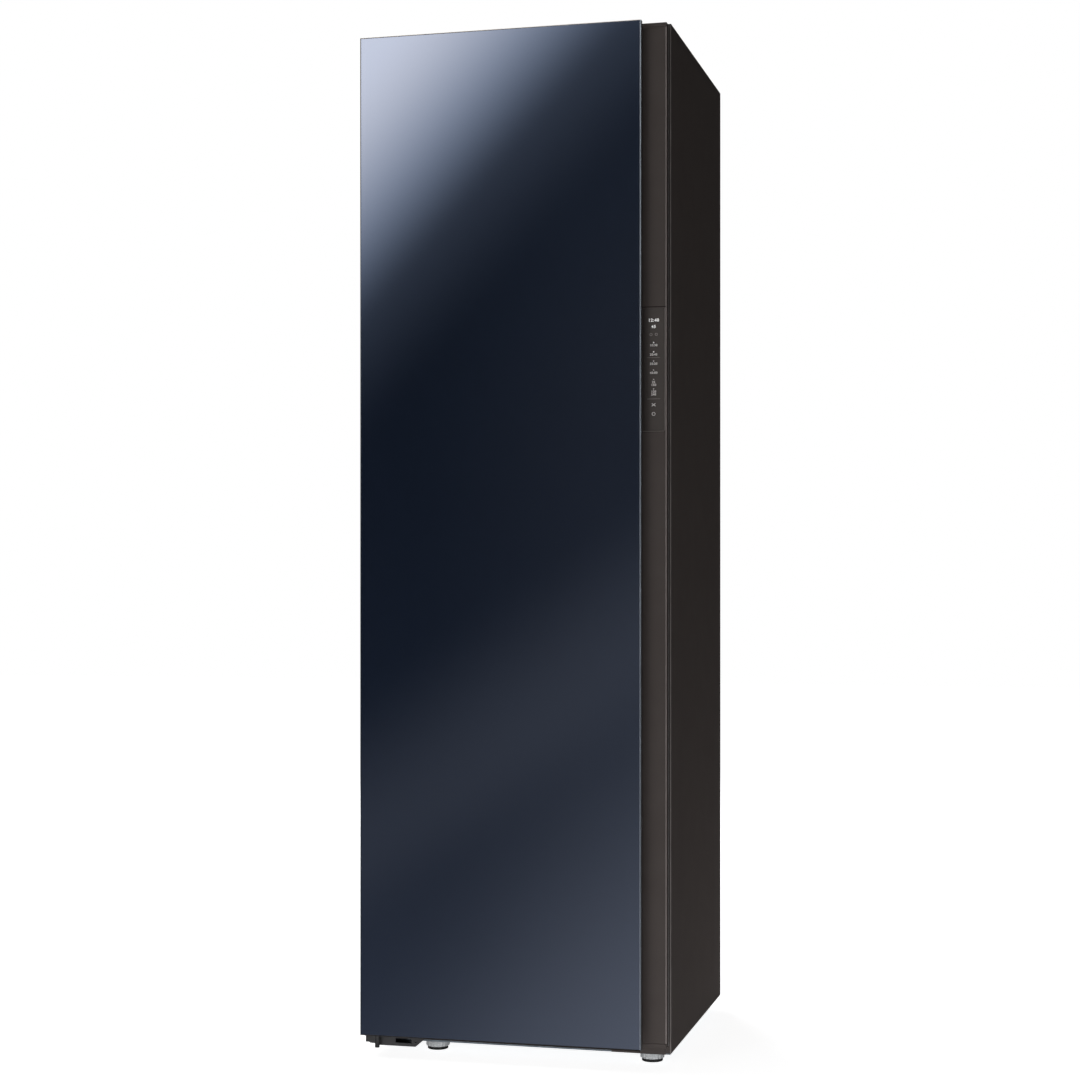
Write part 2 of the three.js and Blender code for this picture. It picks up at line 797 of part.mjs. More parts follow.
// Lower back cover with cooling slots and a closed gland for the mains lead
function serviceCover() {
  const inner = cabinetDepth - sheet;
  const plate = block([-halfWidth, halfWidth], [inner, cabinetDepth], [cabinetBottom, serviceTop]);
  const through = [inner - glandProud - overrun, cabinetDepth + overrun];
  const glandX = halfWidth - glandInset;
  const collar = barY(glandRadius, glandX, [inner - glandProud, cabinetDepth], glandHeight);
  const dimple = barY(glandDimple, glandX, [cabinetDepth - glandDimpleDepth, cabinetDepth + overrun],
    glandHeight, smallSides);
  const slots = [-1, 1].flatMap((side) => Array.from({ length: louvreCount }, (_, i) => {
    const low = louvreBottom + louvrePitch * i;
    const ends = ordered(side * louvreSide, side * (louvreSide + louvreLength));
    const outline = roundedRectangle(ends, [low, low + louvreHeight], louvreHeight * halfShare,
      slotSteps);
    return prismY(outline, through);
  }));
  return cut(join(plate, collar), dimple, ...slots);
}

const halfShare = 0.499; // keeps the round ends of a slot apart

const footPlaces = {
  front_left: [footLeftInset - halfWidth, footFrontDepth - cabinetFront],
  front_right: [halfWidth - footRightInset, footFrontDepth - cabinetFront],
  rear_left: [footRearInset - halfWidth, cabinetDepth - footRearInset],
  rear_right: [halfWidth - footRearInset, cabinetDepth - footRearInset],
};

// Base tray with upturned edges and a nut for each foot's stud
function basePan() {
  const front = sheet + seatGap;
  const back = panelDepth - sheet - seatGap;
  const inside = innerHalf - baseSheet;
  const tray = block([-innerHalf, innerHalf], [front, back], [baseBottom, baseBottom + baseFlange]);
  const hollow = block([-inside, inside], [front + baseSheet, back - baseSheet],
    [baseTop, baseTop + baseFlange]);
  const places = Object.values(footPlaces);
  const bore = studRadius + turnGap;
  const nuts = places.map(([x, y]) => disc(bore + footNutWall, x, y, [baseBottom, baseTop + footNutHeight],
    smallSides));
  const holes = places.map(([x, y]) => disc(bore, x, y, [baseBottom - overrun,
    baseTop + footNutHeight + overrun], smallSides));
  return cut(join(cut(tray, hollow), ...nuts), ...holes);
}

// Painted cover over the right end of the base's front edge
function skirtCover() {
  const right = halfWidth - returnWidth - seatGap;
  return block([right - skirtWidth, right], [0, sheet], [baseBottom, frameBottom - seatGap]);
}

// Moulded collar that the door's seal meets, closed above the chamber's mouth
function frontFrame() {
  const side = halfWidth - returnWidth - seatGap;
  const top = cabinetTop - sheet - seatGap;
  const body = block([-side, side], [0, frameDepth], [frameBottom, top]);
  const mouth = block([-chamberHalf, chamberHalf], [-overrun, frameDepth + overrun],
    [mouthBottom, mouthTop]);
  const pocket = block([frameRim - side, side - frameRim], [frameDepth - framePocket, frameDepth + overrun],
    [mouthTop + frameRim, top - frameRim]);
  return cut(body, mouth, pocket);
}

// Upper pivot bracket: plate on the lid, stepped down to the arm that holds the pin
function upperBracket() {
  const armLow = doorTop + upperArmLift;
  const armHigh = armLow + upperArm;
  const nose = pivotY - upperArmNose;
  const stepBack = upperArm - upperArmStep;
  const plateLow = cabinetTop + seatGap;
  const side = [[nose, armLow], [stepBack, armLow], [stepBack, plateLow], [upperArmBack, plateLow],
    [upperArmBack, overallHeight], [-upperArmStep, overallHeight], [-upperArmStep, armHigh],
    [nose, armHigh]];
  const xs = [pivotX - upperArmWidth / 2, pivotX + upperArmWidth / 2];
  const plan = roundedRectangle(xs, [nose, upperArmBack], upperArmNose);
  const plate = common(prismX(side, xs), prismZ(plan, [armLow - overrun, overallHeight + overrun]));
  return join(plate, disc(pinRadius, pivotX, pivotY, [doorTop - pinReach, armHigh]));
}

// Lower pivot bracket: upright front wall with its window and slanted end, the arm under the door,
// the pin, a stop post, a keeper and the foot under the base
function lowerBracket() {
  const left = -halfWidth;
  const armTop = doorBottom - lowerArmDrop;
  const wallFront = lowerWallFront - cabinetFront;
  const wallYs = [wallFront, wallFront + lowerWall];
  const wallOutline = [[left + lowerWallLeft, armTop], [left + lowerWallLeft, lowerWallBottom],
    [left + lowerWallRight, lowerWallBottom], [left + lowerWallRight + lowerWallSlant, armTop]];
  const wall = prismY(wallOutline, wallYs);
  const armXs = [left + stopPostInset - stopPostRadius, left + lowerWindowRight];
  const arm = block(armXs, [pivotY - upperArmNose, wallYs[1]], [armTop - lowerArm, armTop]);
  const footTop = baseBottom - seatGap;
  const foot = block([left + lowerWallLeft, left + lowerWallRight],
    [wallFront, lowerFootBack - cabinetFront], [footTop - lowerArm, footTop]);
  const post = disc(stopPostRadius, left + stopPostInset, pivotY, [stopPostBottom, armTop], smallSides);
  const keeper = block([left + keeperLeft, left + keeperLeft + keeperWidth], [pivotY, wallYs[1]],
    [keeperBottom, armTop]);
  const web = block([armXs[0], left + lowerWallLeft], wallYs, [lowerWebBottom, armTop]);
  const pin = disc(pinRadius, pivotX, pivotY, [lowerPinBottom, doorBottom + pinReach]);
  const through = [wallFront - overrun, wallYs[1] + overrun];
  const window = block([left + lowerWindowLeft, left + lowerWindowRight], [through[0], wallYs[1]],
    [lowerWindowBottom, lowerWindowTop]);
  const hole = barY(lowerHoleRadius, left + lowerWallRight + lowerHoleInset, through,
    lowerWallBottom + lowerHoleHeight, smallSides);
  const behind = block([left + lowerWindowLeft, left + lowerWindowRight], [wallYs[1], wallYs[1] + overrun],
    [footTop, lowerWindowTop]);
  return cut(join(wall, arm, foot, post, keeper, web, pin), cut(window, foot), hole, behind);
}

// Levelling foot: knurled wheel, neck and threaded stud
function levellingFoot() {
  const steps = footLobeCount * 2;
  const knurl = Array.from({ length: steps }, (_, i) => {
    const radius = footRadius - footLobe * (i % 2);
    const angle = (2 * Math.PI * i) / steps;
    return [radius * Math.cos(angle), radius * Math.sin(angle)];
  });
  const top = baseBottom - seatGap;
  const wheel = prismZ(knurl, [footNeckTop, top]);
  const neck = disc(footNeckRadius, 0, 0, [padHeight, top]);
  return join(wheel, neck, disc(studRadius, 0, 0, [padHeight, top + studReach], smallSides));
}

function footPad() {
  return disc(padRadius, 0, 0, [0, padHeight - seatGap]);
}

function addFeet(cabinet) {
  Object.entries(footPlaces).forEach(([corner, [x, y]]) => {
    const foot = new THREE.Group();
    foot.position.set(x, y, 0);
    addPiece(foot, `foot_${corner}`, levellingFoot(), paleMetal());
    addPiece(foot, `foot_pad_${corner}`, footPad(), blackRubber());
    cabinet.add(foot);
  });
}

function addCasing(cabinet) {
  addPiece(cabinet, "side_panel_left", sidePanel(-1), brownPaint());
  addPiece(cabinet, "side_panel_right", sidePanel(1), brownPaint());
  addPiece(cabinet, "top_panel", topPanel(), brownPaint());
  addPiece(cabinet, "back_panel", backPanel(), galvanised());
  addPiece(cabinet, "rear_service_cover", serviceCover(), galvanised());
  addPiece(cabinet, "base_pan", basePan(), galvanised());
  addPiece(cabinet, "skirt_cover", skirtCover(), brownPaint());
  addPiece(cabinet, "front_frame", frontFrame(), greyPlastic());
  addPiece(cabinet, "hinge_bracket_upper", upperBracket(), darkTrim());
  addPiece(cabinet, "hinge_bracket_lower", lowerBracket(), darkTrim());
}

// Garment chamber

function evenly(count, [low, high]) {
  return Array.from({ length: count }, (_, i) => low + ((high - low) * (i + 1)) / (count + 1));
}

// Side wall with upright ribs and the socket for the hanger rail
function chamberSide(side) {
  const sided = (from, to) => ordered(side * from, side * to);
  const ys = [chamberFront, chamberBack - seatGap];
  const zs = [wallBottom, mouthTop - seatGap];
  const wall = block(sided(chamberHalf, chamberOut), ys, zs);
  const ribs = evenly(ribCount, ys).map((y) => block(sided(chamberHalf - ribHeight, chamberOut),
    [y - ribWidth / 2, y + ribWidth / 2], [zs[0] + ribEndGap, railZ - ribEndGap]));
  const bore = railRadius + seatGap;
  const socket = barX(bore + railSocketWall, sided(chamberHalf - railSocketDepth, chamberOut), railY, railZ,
    smallSides);
  const hole = barX(bore, sided(chamberHalf - railSocketDepth - overrun, chamberHalf), railY, railZ);
  return cut(join(wall, ...ribs, socket), hole);
}

function chamberRear() {
  const zs = [wallBottom, mouthTop - seatGap];
  const wall = block([-chamberOut, chamberOut], [chamberBack, chamberBack + chamberSkin], zs);
  const ribs = evenly(ribCount, [-chamberHalf, chamberHalf]).map((x) => block(
    [x - ribWidth / 2, x + ribWidth / 2], [chamberBack - ribHeight, chamberBack + chamberSkin],
    [zs[0] + ribEndGap, railZ - ribEndGap]));
  return join(wall, ...ribs);
}

const filterBody = {
  xs: [filterOffset - filterWidth / 2 + filterFlange, filterOffset + filterWidth / 2 - filterFlange],
  ys: [filterFront + filterFlange, filterFront + filterLength - filterFlange],
};

// Floor with the filter's opening, steam slots and air return slots
function chamberFloor() {
  const zs = [chamberFloorZ - chamberSkin, chamberFloorZ];
  const through = [zs[0] - overrun, zs[1] + overrun];
  const edge = chamberHalf - seatGap;
  const plate = block([-edge, edge], [chamberFront, chamberBack - seatGap], zs);
  const grow = ([low, high]) => [low - seatGap, high + seatGap];
  const opening = block(grow(filterBody.xs), grow(filterBody.ys), through);
  const steam = Array.from({ length: steamSlotCount }, (_, i) => {
    const left = steamSlotLeft + steamSlotPitch * i;
    return block([left, left + steamSlotWidth], [steamSlotFront, steamSlotFront + steamSlotLength], through);
  });
  const returns = Array.from({ length: returnSlotCount }, (_, i) => {
    const front = returnSlotFront + returnSlotPitch * i;
    return block([-returnSlotLength / 2, returnSlotLength / 2], [front, front + returnSlotWidth], through);
  });
  return cut(plate, opening, ...steam, ...returns);
}

// Filter cassette: flange on the floor, slotted body below it and a grip that lifts it out
function lintFilter() {
  const low = chamberFloorZ + seatGap;
  const top = low + filterFlangeHeight;
  const flange = block([filterOffset - filterWidth / 2, filterOffset + filterWidth / 2],
    [filterFront, filterFront + filterLength], [low, top]);
  const body = block(filterBody.xs, filterBody.ys, [chamberFloorZ - filterDrop, top]);
  const ys = [filterBody.ys[0] + filterEdge, filterBody.ys[1] - filterEdge];
  const slots = evenly(filterSlotCount, filterBody.xs).map((x) => block(
    [x - filterSlotWidth / 2, x + filterSlotWidth / 2], ys, [chamberFloorZ - filterDrop - overrun,
      top + overrun]));
  const middle = filterFront + filterLength / 2;
  const bar = block([filterOffset - filterGripWidth / 2, filterOffset + filterGripWidth / 2],
    [middle - filterGripThickness / 2, middle + filterGripThickness / 2],
    [chamberFloorZ - filterDrop, top + filterGripRise]);
  return join(cut(join(flange, body), ...slots), bar);
}

// Ceiling with air outlets, the lamp's window and the way in from the duct
function chamberCeiling() {
  const zs = [mouthTop, mouthTop + chamberSkin];
  const through = [zs[0] - overrun, zs[1] + overrun];
  const plate = block([-chamberOut, chamberOut], [chamberFront, ductBack], zs);
  const outlets = Array.from({ length: outletCount }, (_, i) => {
    const x = outletPitch * (i - (outletCount - 1) / 2);
    const ys = [outletFront, chamberBack - outletBack];
    return block([x - outletWidth / 2, x + outletWidth / 2], ys, through);
  });
  const lamp = block([-lampLength / 2, lampLength / 2], [lampFront, lampFront + lampWidth], through);
  const inlet = block([ductSides[0] + ductSkin, ductSides[1] - ductSkin],
    [ductFront + ductSkin, ductBack - ductSkin], through);
  return cut(plate, ...outlets, lamp, inlet);
}

// Lamp cover let into the ceiling, its flange lying on top
function lampLens() {
  const low = mouthTop + chamberSkin + seatGap;
  const body = block([seatGap - lampLength / 2, lampLength / 2 - seatGap],
    [lampFront + seatGap, lampFront + lampWidth - seatGap], [mouthTop, low + lampFlange]);
  const flange = block([-lampLength / 2 - lampFlangeReach, lampLength / 2 + lampFlangeReach],
    [lampFront - lampFlangeReach, lampFront + lampWidth + lampFlangeReach], [low, low + lampFlange]);
  return join(body, flange);
}

// Foam jacket round the sides and back of the chamber
function insulationJacket() {
  const inside = chamberOut + seatGap;
  const back = cabinetDepth - sheet - beadHeight - jacketGap;
  const inner = ductBack + seatGap;
  const outline = [[-innerHalf, chamberFront], [-inside, chamberFront], [-inside, inner], [inside, inner],
    [inside, chamberFront], [innerHalf, chamberFront], [innerHalf, back], [-innerHalf, back]];
  return prismZ(outline, [serviceTop + jacketGap, cabinetTop - topFlange - jacketGap]);
}

const ductBottom = serviceTop + jacketGap;

// Rectangular duct up the back, open at both ends
function rearDuct() {
  const zs = [ductBottom, mouthTop - seatGap];
  const outer = block(ductSides, [ductFront, ductBack], zs);
  const inner = block([ductSides[0] + ductSkin, ductSides[1] - ductSkin],
    [ductFront + ductSkin, ductBack - ductSkin], [zs[0] - overrun, zs[1] + overrun]);
  return cut(outer, inner);
}

// Air box above the ceiling, open below
function plenumCover() {
  const side = chamberOut - plenumInset;
  const front = chamberFront + plenumInset;
  const top = plenumBottom + plenumHeight;
  const outer = block([-side, side], [front, ductBack], [plenumBottom, top]);
  const inner = block([plenumSkin - side, side - plenumSkin], [front + plenumSkin, ductBack - plenumSkin],
    [plenumBottom - overrun, top - plenumSkin]);
  return cut(outer, inner);
}

// Fan wheel about an upright axis: back plate, curved blades, front ring and hub
function fanWheel(radius, depth, blades) {
  const rim = radius - bladeChord;
  const plate = disc(radius, 0, 0, [0, fanPlate]);
  const hub = disc(hubRadius, 0, 0, [0, depth / 2]);
  const ringLow = depth - fanPlate;
  const ringInner = rim + bladeChord / 2;
  const ring = turned([[ringInner, ringLow], [radius, ringLow], [radius, depth], [ringInner, depth],
    [ringInner, ringLow]], 0, 0, roundSides);
  const bore = disc(shaftRadius + seatGap, 0, 0, [-overrun, depth], smallSides);
  const wheel = Array.from({ length: blades }, (_, i) => {
    const start = (2 * Math.PI * i) / blades;
    const line = Array.from({ length: bladeSteps + 1 }, (_unused, step) => {
      const share = step / bladeSteps;
      const angle = start + bladeSweep * share * share;
      const reach = rim + (bladeChord - fanPlate) * share;
      return [reach * Math.cos(angle), reach * Math.sin(angle)];
    });
    return prismZ(ribbon(line, bladeThickness), [fanPlate / 2, depth - fanPlate / 2]);
  });
  return cut(join(plate, hub, ring, ...wheel), bore);
}

// Motor can with its shaft, about an upright axis
function fanMotor(radius, length, shaft) {
  const profile = [[0, -shaft], [shaftRadius, -shaft], [shaftRadius, 0], [radius, 0], [radius, length],
    [0, length]];
  return turned(profile, 0, 0, roundSides);
}

function hangerRail() {
  const reach = chamberHalf - seatGap;
  return barX(railRadius, [-reach, reach], 0, 0);
}

// Band of a given width along an open line
function ribbon(line, width) {
  return [...offsetLine(line, width / 2), ...offsetLine(line, -width / 2).reverse()];
}

// Clothes hanger drawn about the rail's middle: hook over the rail and sloping shoulders
function hanger() {
  const round = railRadius + seatGap + hookThickness / 2;
  const over = arc(0, 0, round, Math.PI, 0, hookSteps);
  const crest = -hangerCrest;
  const stem = [...over, [round, -hookTail], [round * hookInShare, -hookTail - hookReturn * hookDropShare],
    [0, -hookTail - hookReturn], [0, crest]];
  const tip = hangerWidth / 2;
  const shoulder = new THREE.QuadraticBezierCurve(new THREE.Vector2(0, crest),
    new THREE.Vector2(hangerEase, crest), new THREE.Vector2(tip, crest - hangerFall));
  const right = shoulder.getPoints(curveSteps).map((point) => [point.x, point.y]);
  const left = right.slice(1).map(([y, z]) => [-y, z]).reverse();
  const hook = prismX(ribbon(stem, hookThickness), [-hookWidth / 2, hookWidth / 2]);
  const arms = prismX(ribbon([...left, ...right], hangerBar), [-hangerThickness / 2, hangerThickness / 2]);
  return join(hook, arms);
}

const hookInShare = 0.75; // of the hook's radius, on the way back under the rail
const hookDropShare = 0.45; // of the height in which it comes back

function addChamber(cabinet) {
  addPiece(cabinet, "chamber_wall_left", chamberSide(-1), whitePlastic());
  addPiece(cabinet, "chamber_wall_right", chamberSide(1), whitePlastic());
  addPiece(cabinet, "chamber_wall_rear", chamberRear(), whitePlastic());
  addPiece(cabinet, "chamber_floor", chamberFloor(), whitePlastic());
  addPiece(cabinet, "chamber_ceiling", chamberCeiling(), whitePlastic());
  addPiece(cabinet, "lint_filter", lintFilter(), greyPlastic());
  addPiece(cabinet, "lamp_lens", lampLens(), whitePlastic());
  addPiece(cabinet, "insulation_jacket", insulationJacket(), foam());
  addPiece(cabinet, "rear_duct", rearDuct(), greyPlastic());
  addPiece(cabinet, "plenum_cover", plenumCover(), greyPlastic());
}

function addHangers(cabinet) {
  const rail = addPiece(cabinet, "hanger_rail", hangerRail(), paleMetal());
  rail.position.set(0, railY, railZ);
  for (let i = 0; i < hangerCount; i += 1) {
    const mesh = addPiece(cabinet, `hanger_${i + 1}`, hanger(), whitePlastic());
    mesh.position.set(hangerPitch * (i - (hangerCount - 1) / 2), railY, railZ);
  }
}

// Fan under the plenum's roof, its back plate up
function addCeilingFan(cabinet) {
  const wheelTop = plenumBottom + jetLift + jetHeight;
  const motorBottom = wheelTop + hubGap;
  const motorLength = plenumBottom + plenumHeight - plenumSkin - seatGap - motorBottom;
  const wheel = addPiece(cabinet, "jet_wheel", fanWheel(jetRadius, jetHeight, jetBlades), whitePlastic());
  wheel.position.set(0, fanY, wheelTop);
  wheel.rotation.set(Math.PI, 0, 0);
  const motor = fanMotor(jetMotorRadius, motorLength, hubGap + jetHeight / 2);
  const can = addPiece(cabinet, "jet_motor", motor, paleMetal());
  can.position.set(0, fanY, motorBottom);
}

// Tank bay and tanks

// Moulded tub open to the front, with a partition between the tanks
function tankBay() {
  const outer = block([-chamberOut, chamberOut], [chamberFront, bayDepth],
    [mouthBottom - chamberSkin, bayTop + chamberSkin]);
  const back = bayDepth - chamberSkin;
  const hollow = (xs) => block(xs, [chamberFront - overrun, back], [mouthBottom, bayTop]);
  const half = bayPartition / 2;
  return cut(outer, hollow([-chamberHalf, -half]), hollow([half, chamberHalf]));
}

// Water tank with rounded corners, a finger pull in front and a filling cap on top
function waterTank(side) {
  const near = side * (bayPartition / 2 + tankGap);
  const far = side * (chamberHalf - tankGap);
  const xs = ordered(near, far);
  const ys = [tankSetback, tankSetback + tankDepth];
  const low = mouthBottom + seatGap;
  const top = low + tankHeight;
  const body = prismZ(roundedRectangle(xs, ys, tankCorner), [low, top]);
  const middle = (near + far) / 2;
  const pull = roundedRectangle([middle - tankPullWidth / 2, middle + tankPullWidth / 2],
    [top - tankPullDrop - tankPullHeight, top - tankPullDrop], tankPullCorner);
  const recess = prismY(pull, [tankSetback - overrun, tankSetback + tankPullDepth]);
  const cap = disc(tankCapRadius, middle, tankSetback + tankDepth / 2, [top - tankCapHeight,
    top + tankCapHeight]);
  return join(cut(body, recess), cap);
}

function addTanks(cabinet) {
  addPiece(cabinet, "tank_bay", tankBay(), whitePlastic());
  addPiece(cabinet, "supply_tank", waterTank(-1), clearTank());
  addPiece(cabinet, "drain_tank", waterTank(1), clearTank());
}

// Machine bay

// Hermetic compressor: domed can on a plate with four grommets and a pipe stub
function compressor() {
  const plateLow = grommetHeight;
  const low = plateLow + compressorPlate;
  const rim = low + compressorHeight - compressorDome;
  const dome = arc(0, 0, 1, 0, Math.PI / 2, cornerSteps).map(([across, up]) => [
    compressorRadius * across, rim + compressorDome * up]);
  const can = turned([[0, plateLow], [compressorRadius, plateLow], ...dome.slice(0, -1),
    [0, rim + compressorDome]], 0, 0, roundSides);
  const half = compressorPlateHalf;
  const plate = prismZ(roundedRectangle([-half, half], [-half, half], compressorCorner), [plateLow, low]);
  const place = half - compressorCorner;
  const grommets = [[-1, -1], [1, -1], [1, 1], [-1, 1]].map(([a, b]) => disc(grommetRadius, a * place,
    b * place, [0, low], smallSides));
  const stub = barX(compressorPort, [0, compressorRadius + compressorPortReach], 0, rim - compressorPort,
    smallSides);
  return join(can, plate, ...grommets, stub);
}

// Evaporator and condenser pack: fins on two tube rows, standing in the drip tray
function coilPack() {
  const half = coilWidth / 2;
  const ys = [0, coilDepth];
  const top = coilTray + coilHeight;
  const tray = block([-half, half], ys, [0, coilTray]);
  const places = evenly(coilFinCount, [-half, half]);
  const fins = places.map((x) => block([x - coilFin / 2, x + coilFin / 2], ys, [coilTray / 2, top]));
  const rows = evenly(2, ys).map((y) => block([-half, half], [y - coilCore / 2, y + coilCore / 2],
    [coilTray / 2, top - coilCore]));
  return join(tray, ...fins, ...rows);
}

// Spiral side of the blower in x and z about the fan's middle, drawn in by an inset
function scrollOutline(inset, top) {
  const right = blowerRadius + blowerGrowth - inset;
  const left = blowerRadius + blowerGrowth - ductWidth + inset;
  const spiral = Array.from({ length: scrollSteps + 1 }, (_, i) => {
    const share = i / scrollSteps;
    const angle = scrollStart + (2 * Math.PI - scrollStart) * share;
    const radius = blowerRadius + blowerGrowth * share - inset;
    return [radius * Math.cos(angle), radius * Math.sin(angle)];
  });
  return [[right, top], [left, top], [left, blowerRadius], ...spiral];
}

// Scroll housing with its inlet in front, outlet into the duct and a foot on the base
function blowerHousing() {
  const top = ductBottom - seatGap - restZ - blowerRise;
  const ys = [ductFront, ductBack];
  const outer = prismY(scrollOutline(0, top), ys);
  const inner = prismY(scrollOutline(blowerSkin, top + overrun), [ys[0] + blowerSkin, ys[1] - blowerSkin]);
  const foot = block([-blowerFootWidth / 2, blowerFootWidth / 2], ys, [-blowerRise, -blowerRadius]);
  const inlet = barY(blowerInlet, 0, [ys[0] - overrun, ys[0] + blowerSkin + overrun], 0);
  const behind = [ys[1] - blowerSkin - overrun, ys[1] + overrun];
  const bore = barY(shaftRadius + seatGap, 0, behind, 0, smallSides);
  return cut(join(outer, foot), inner, inlet, bore);
}

const blowerX = ductSides[1] - blowerRadius - blowerGrowth;
const blowerZ = restZ + blowerRise;

// Steam generator: closed box with a riser to the chamber floor and an inlet stub
function steamGenerator() {
  const outline = roundedRectangle([-steamTankWidth / 2, steamTankWidth / 2],
    [-steamTankDepth / 2, steamTankDepth / 2], steamTankCorner);
  const tank = prismZ(outline, [0, steamTankHeight]);
  const riser = disc(steamPort, 0, 0, [0, chamberFloorZ - chamberSkin - seatGap - restZ], smallSides);
  const inletReach = steamTankWidth / 2 + steamInletReach;
  const inlet = barX(steamInlet, [0, inletReach], 0, steamTankHeight / 2, smallSides);
  return join(tank, riser, inlet);
}

function waterPump() {
  const body = disc(pumpRadius, 0, 0, [0, pumpHeight]);
  const port = pumpRadius + pumpPortReach;
  const ports = barX(pumpPort, [-port, port], 0, pumpHeight - pumpPort * 2, smallSides);
  return join(body, ports);
}

function addMachine(cabinet) {
  const place = (name, geometry, material, x, y, z) => {
    const mesh = addPiece(cabinet, name, geometry, material);
    mesh.position.set(x, y, z);
    return mesh;
  };
  const coilX = coilInset + coilWidth / 2 - halfWidth;
  place("compressor", compressor(), blackPlastic(), compressorInset - halfWidth, compressorY, restZ);
  place("coil_pack", coilPack(), finAluminium(), coilX, coilY, restZ);
  place("blower_housing", blowerHousing(), greyPlastic(), blowerX, 0, blowerZ);
  place("steam_generator", steamGenerator(), castAluminium(), steamX, steamSlotFront + steamSlotLength / 2,
    restZ);
  place("water_pump", waterPump(), blackPlastic(), halfWidth - pumpInset, pumpFront, restZ);
  const wheelBack = ductBack - blowerSkin - blowerWheelGap;
  const wheel = place("blower_wheel", fanWheel(blowerWheelRadius, blowerWheelDepth, blowerBlades),
    whitePlastic(), blowerX, wheelBack, blowerZ);
  wheel.rotation.set(Math.PI / 2, 0, 0);
  const shaft = blowerSkin + blowerWheelGap + blowerWheelDepth / 2;
  const motor = place("blower_motor", fanMotor(blowerMotorRadius, blowerMotorDepth, shaft), paleMetal(),
    blowerX, ductBack + seatGap, blowerZ);
  motor.rotation.set(-Math.PI / 2, 0, 0);
}

function buildCabinet() {
  const cabinet = new THREE.Group();
  cabinet.position.set(0, frontY + cabinetFront, 0);
  addCasing(cabinet);
  addFeet(cabinet);
  addChamber(cabinet);
  addHangers(cabinet);
  addCeilingFan(cabinet);
  addTanks(cabinet);
  addMachine(cabinet);
  return cabinet;
}

const steamCabinet = new THREE.Group();
steamCabinet.name = "steam_cabinet";
steamCabinet.add(buildDoor(), buildCabinet());

export default steamCabinet;
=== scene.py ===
# %% [markdown]
# # A clothes care steam cabinet
#
# The real object is a tall free-standing cabinet for airing and steaming clothes. Its door is one
# sheet of dark mirror-coated glass, and beside it runs a narrow painted strip with a touch panel.
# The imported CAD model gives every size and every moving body. This script only dresses it: it gives
# each piece its finish, replaces plain solids by finer meshes, and adds the small details.

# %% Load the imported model
import json
import math

import bmesh
import bpy
from mathutils import Matrix, Vector


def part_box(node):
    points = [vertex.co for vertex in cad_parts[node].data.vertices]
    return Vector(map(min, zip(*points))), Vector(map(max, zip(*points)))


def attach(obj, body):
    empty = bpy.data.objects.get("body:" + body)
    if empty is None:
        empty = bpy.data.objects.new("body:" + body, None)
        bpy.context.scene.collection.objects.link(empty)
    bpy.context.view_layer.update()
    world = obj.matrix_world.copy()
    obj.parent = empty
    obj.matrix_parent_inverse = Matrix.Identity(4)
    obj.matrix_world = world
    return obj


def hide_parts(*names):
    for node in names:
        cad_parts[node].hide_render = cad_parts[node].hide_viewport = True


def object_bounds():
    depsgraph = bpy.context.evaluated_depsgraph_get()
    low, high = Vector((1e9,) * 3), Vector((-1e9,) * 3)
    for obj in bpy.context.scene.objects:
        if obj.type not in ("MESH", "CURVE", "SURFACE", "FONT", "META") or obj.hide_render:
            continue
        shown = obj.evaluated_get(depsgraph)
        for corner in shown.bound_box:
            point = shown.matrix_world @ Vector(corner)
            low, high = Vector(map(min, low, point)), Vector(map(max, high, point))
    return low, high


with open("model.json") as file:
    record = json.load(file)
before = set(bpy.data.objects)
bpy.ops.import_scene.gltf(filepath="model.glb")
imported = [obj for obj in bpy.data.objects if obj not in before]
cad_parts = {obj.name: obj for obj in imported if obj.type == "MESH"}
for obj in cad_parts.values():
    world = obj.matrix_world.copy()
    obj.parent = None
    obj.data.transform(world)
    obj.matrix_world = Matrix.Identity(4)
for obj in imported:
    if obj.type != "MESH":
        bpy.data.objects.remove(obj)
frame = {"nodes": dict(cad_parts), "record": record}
cad_low, cad_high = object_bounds()
print("CAD box", [round(v, 4) for v in cad_low], [round(v, 4) for v in cad_high])

MM = 0.001
nodes = frame["nodes"]
body_of = {n: body for body, members in frame["record"]["behaviour"]["bodies"].items() for n in members}
slot_of = {part["node"]: part["material_slot"] for part in frame["record"]["subparts"]}


def box_mm(node_name):
    """Lowest and highest corner of a CAD node's box, in millimetres."""
    return [Vector(corner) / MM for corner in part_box(node_name)]


def add_object(name, data):
    """A new object in the scene."""
    made = bpy.data.objects.new(name, data)
    bpy.context.scene.collection.objects.link(made)
    return made


def aim(holder, place, way):
    """Stands a camera or a lamp at a place, looking along a direction."""
    holder.location = place
    holder.rotation_mode = "QUATERNION"
    holder.rotation_quaternion = way.to_track_quat("-Z", "Y")


# %% [markdown]
# ## Camera
#
# The photo was taken a little to the right of the door's middle, at about waist height, with the
# camera held level. A level camera keeps upright edges upright, and a small upward shift of the
# lens frames the whole cabinet. The alternative, tilting the camera, would make the edges lean.

# %% Place the camera
CAMERA_PLACE = Vector((1.0139, -4.0973, 0.9137))
CAMERA_LOOK = Vector((-0.2450, 0.9695, 0.0))
LENS = 69.26
SENSOR = 36.0
LENS_SHIFT_UP = 0.0370

camera_data = bpy.data.cameras.new("camera")
camera_data.sensor_width = SENSOR
camera_data.lens = LENS
camera_data.shift_y = LENS_SHIFT_UP
camera = add_object("camera", camera_data)
aim(camera, CAMERA_PLACE, CAMERA_LOOK)
bpy.context.scene.camera = camera
bpy.context.scene.view_settings.view_transform = "Standard"
print("camera at", [round(v, 3) for v in camera.location])

# %% [markdown]
# ## Small helpers
#
# Colours are written as the sRGB hex values that a colour picker shows, and turned into the linear
# values that the shader works in. One function adds any shader node, with its settings and links,
# so that every material below reads as a short recipe.

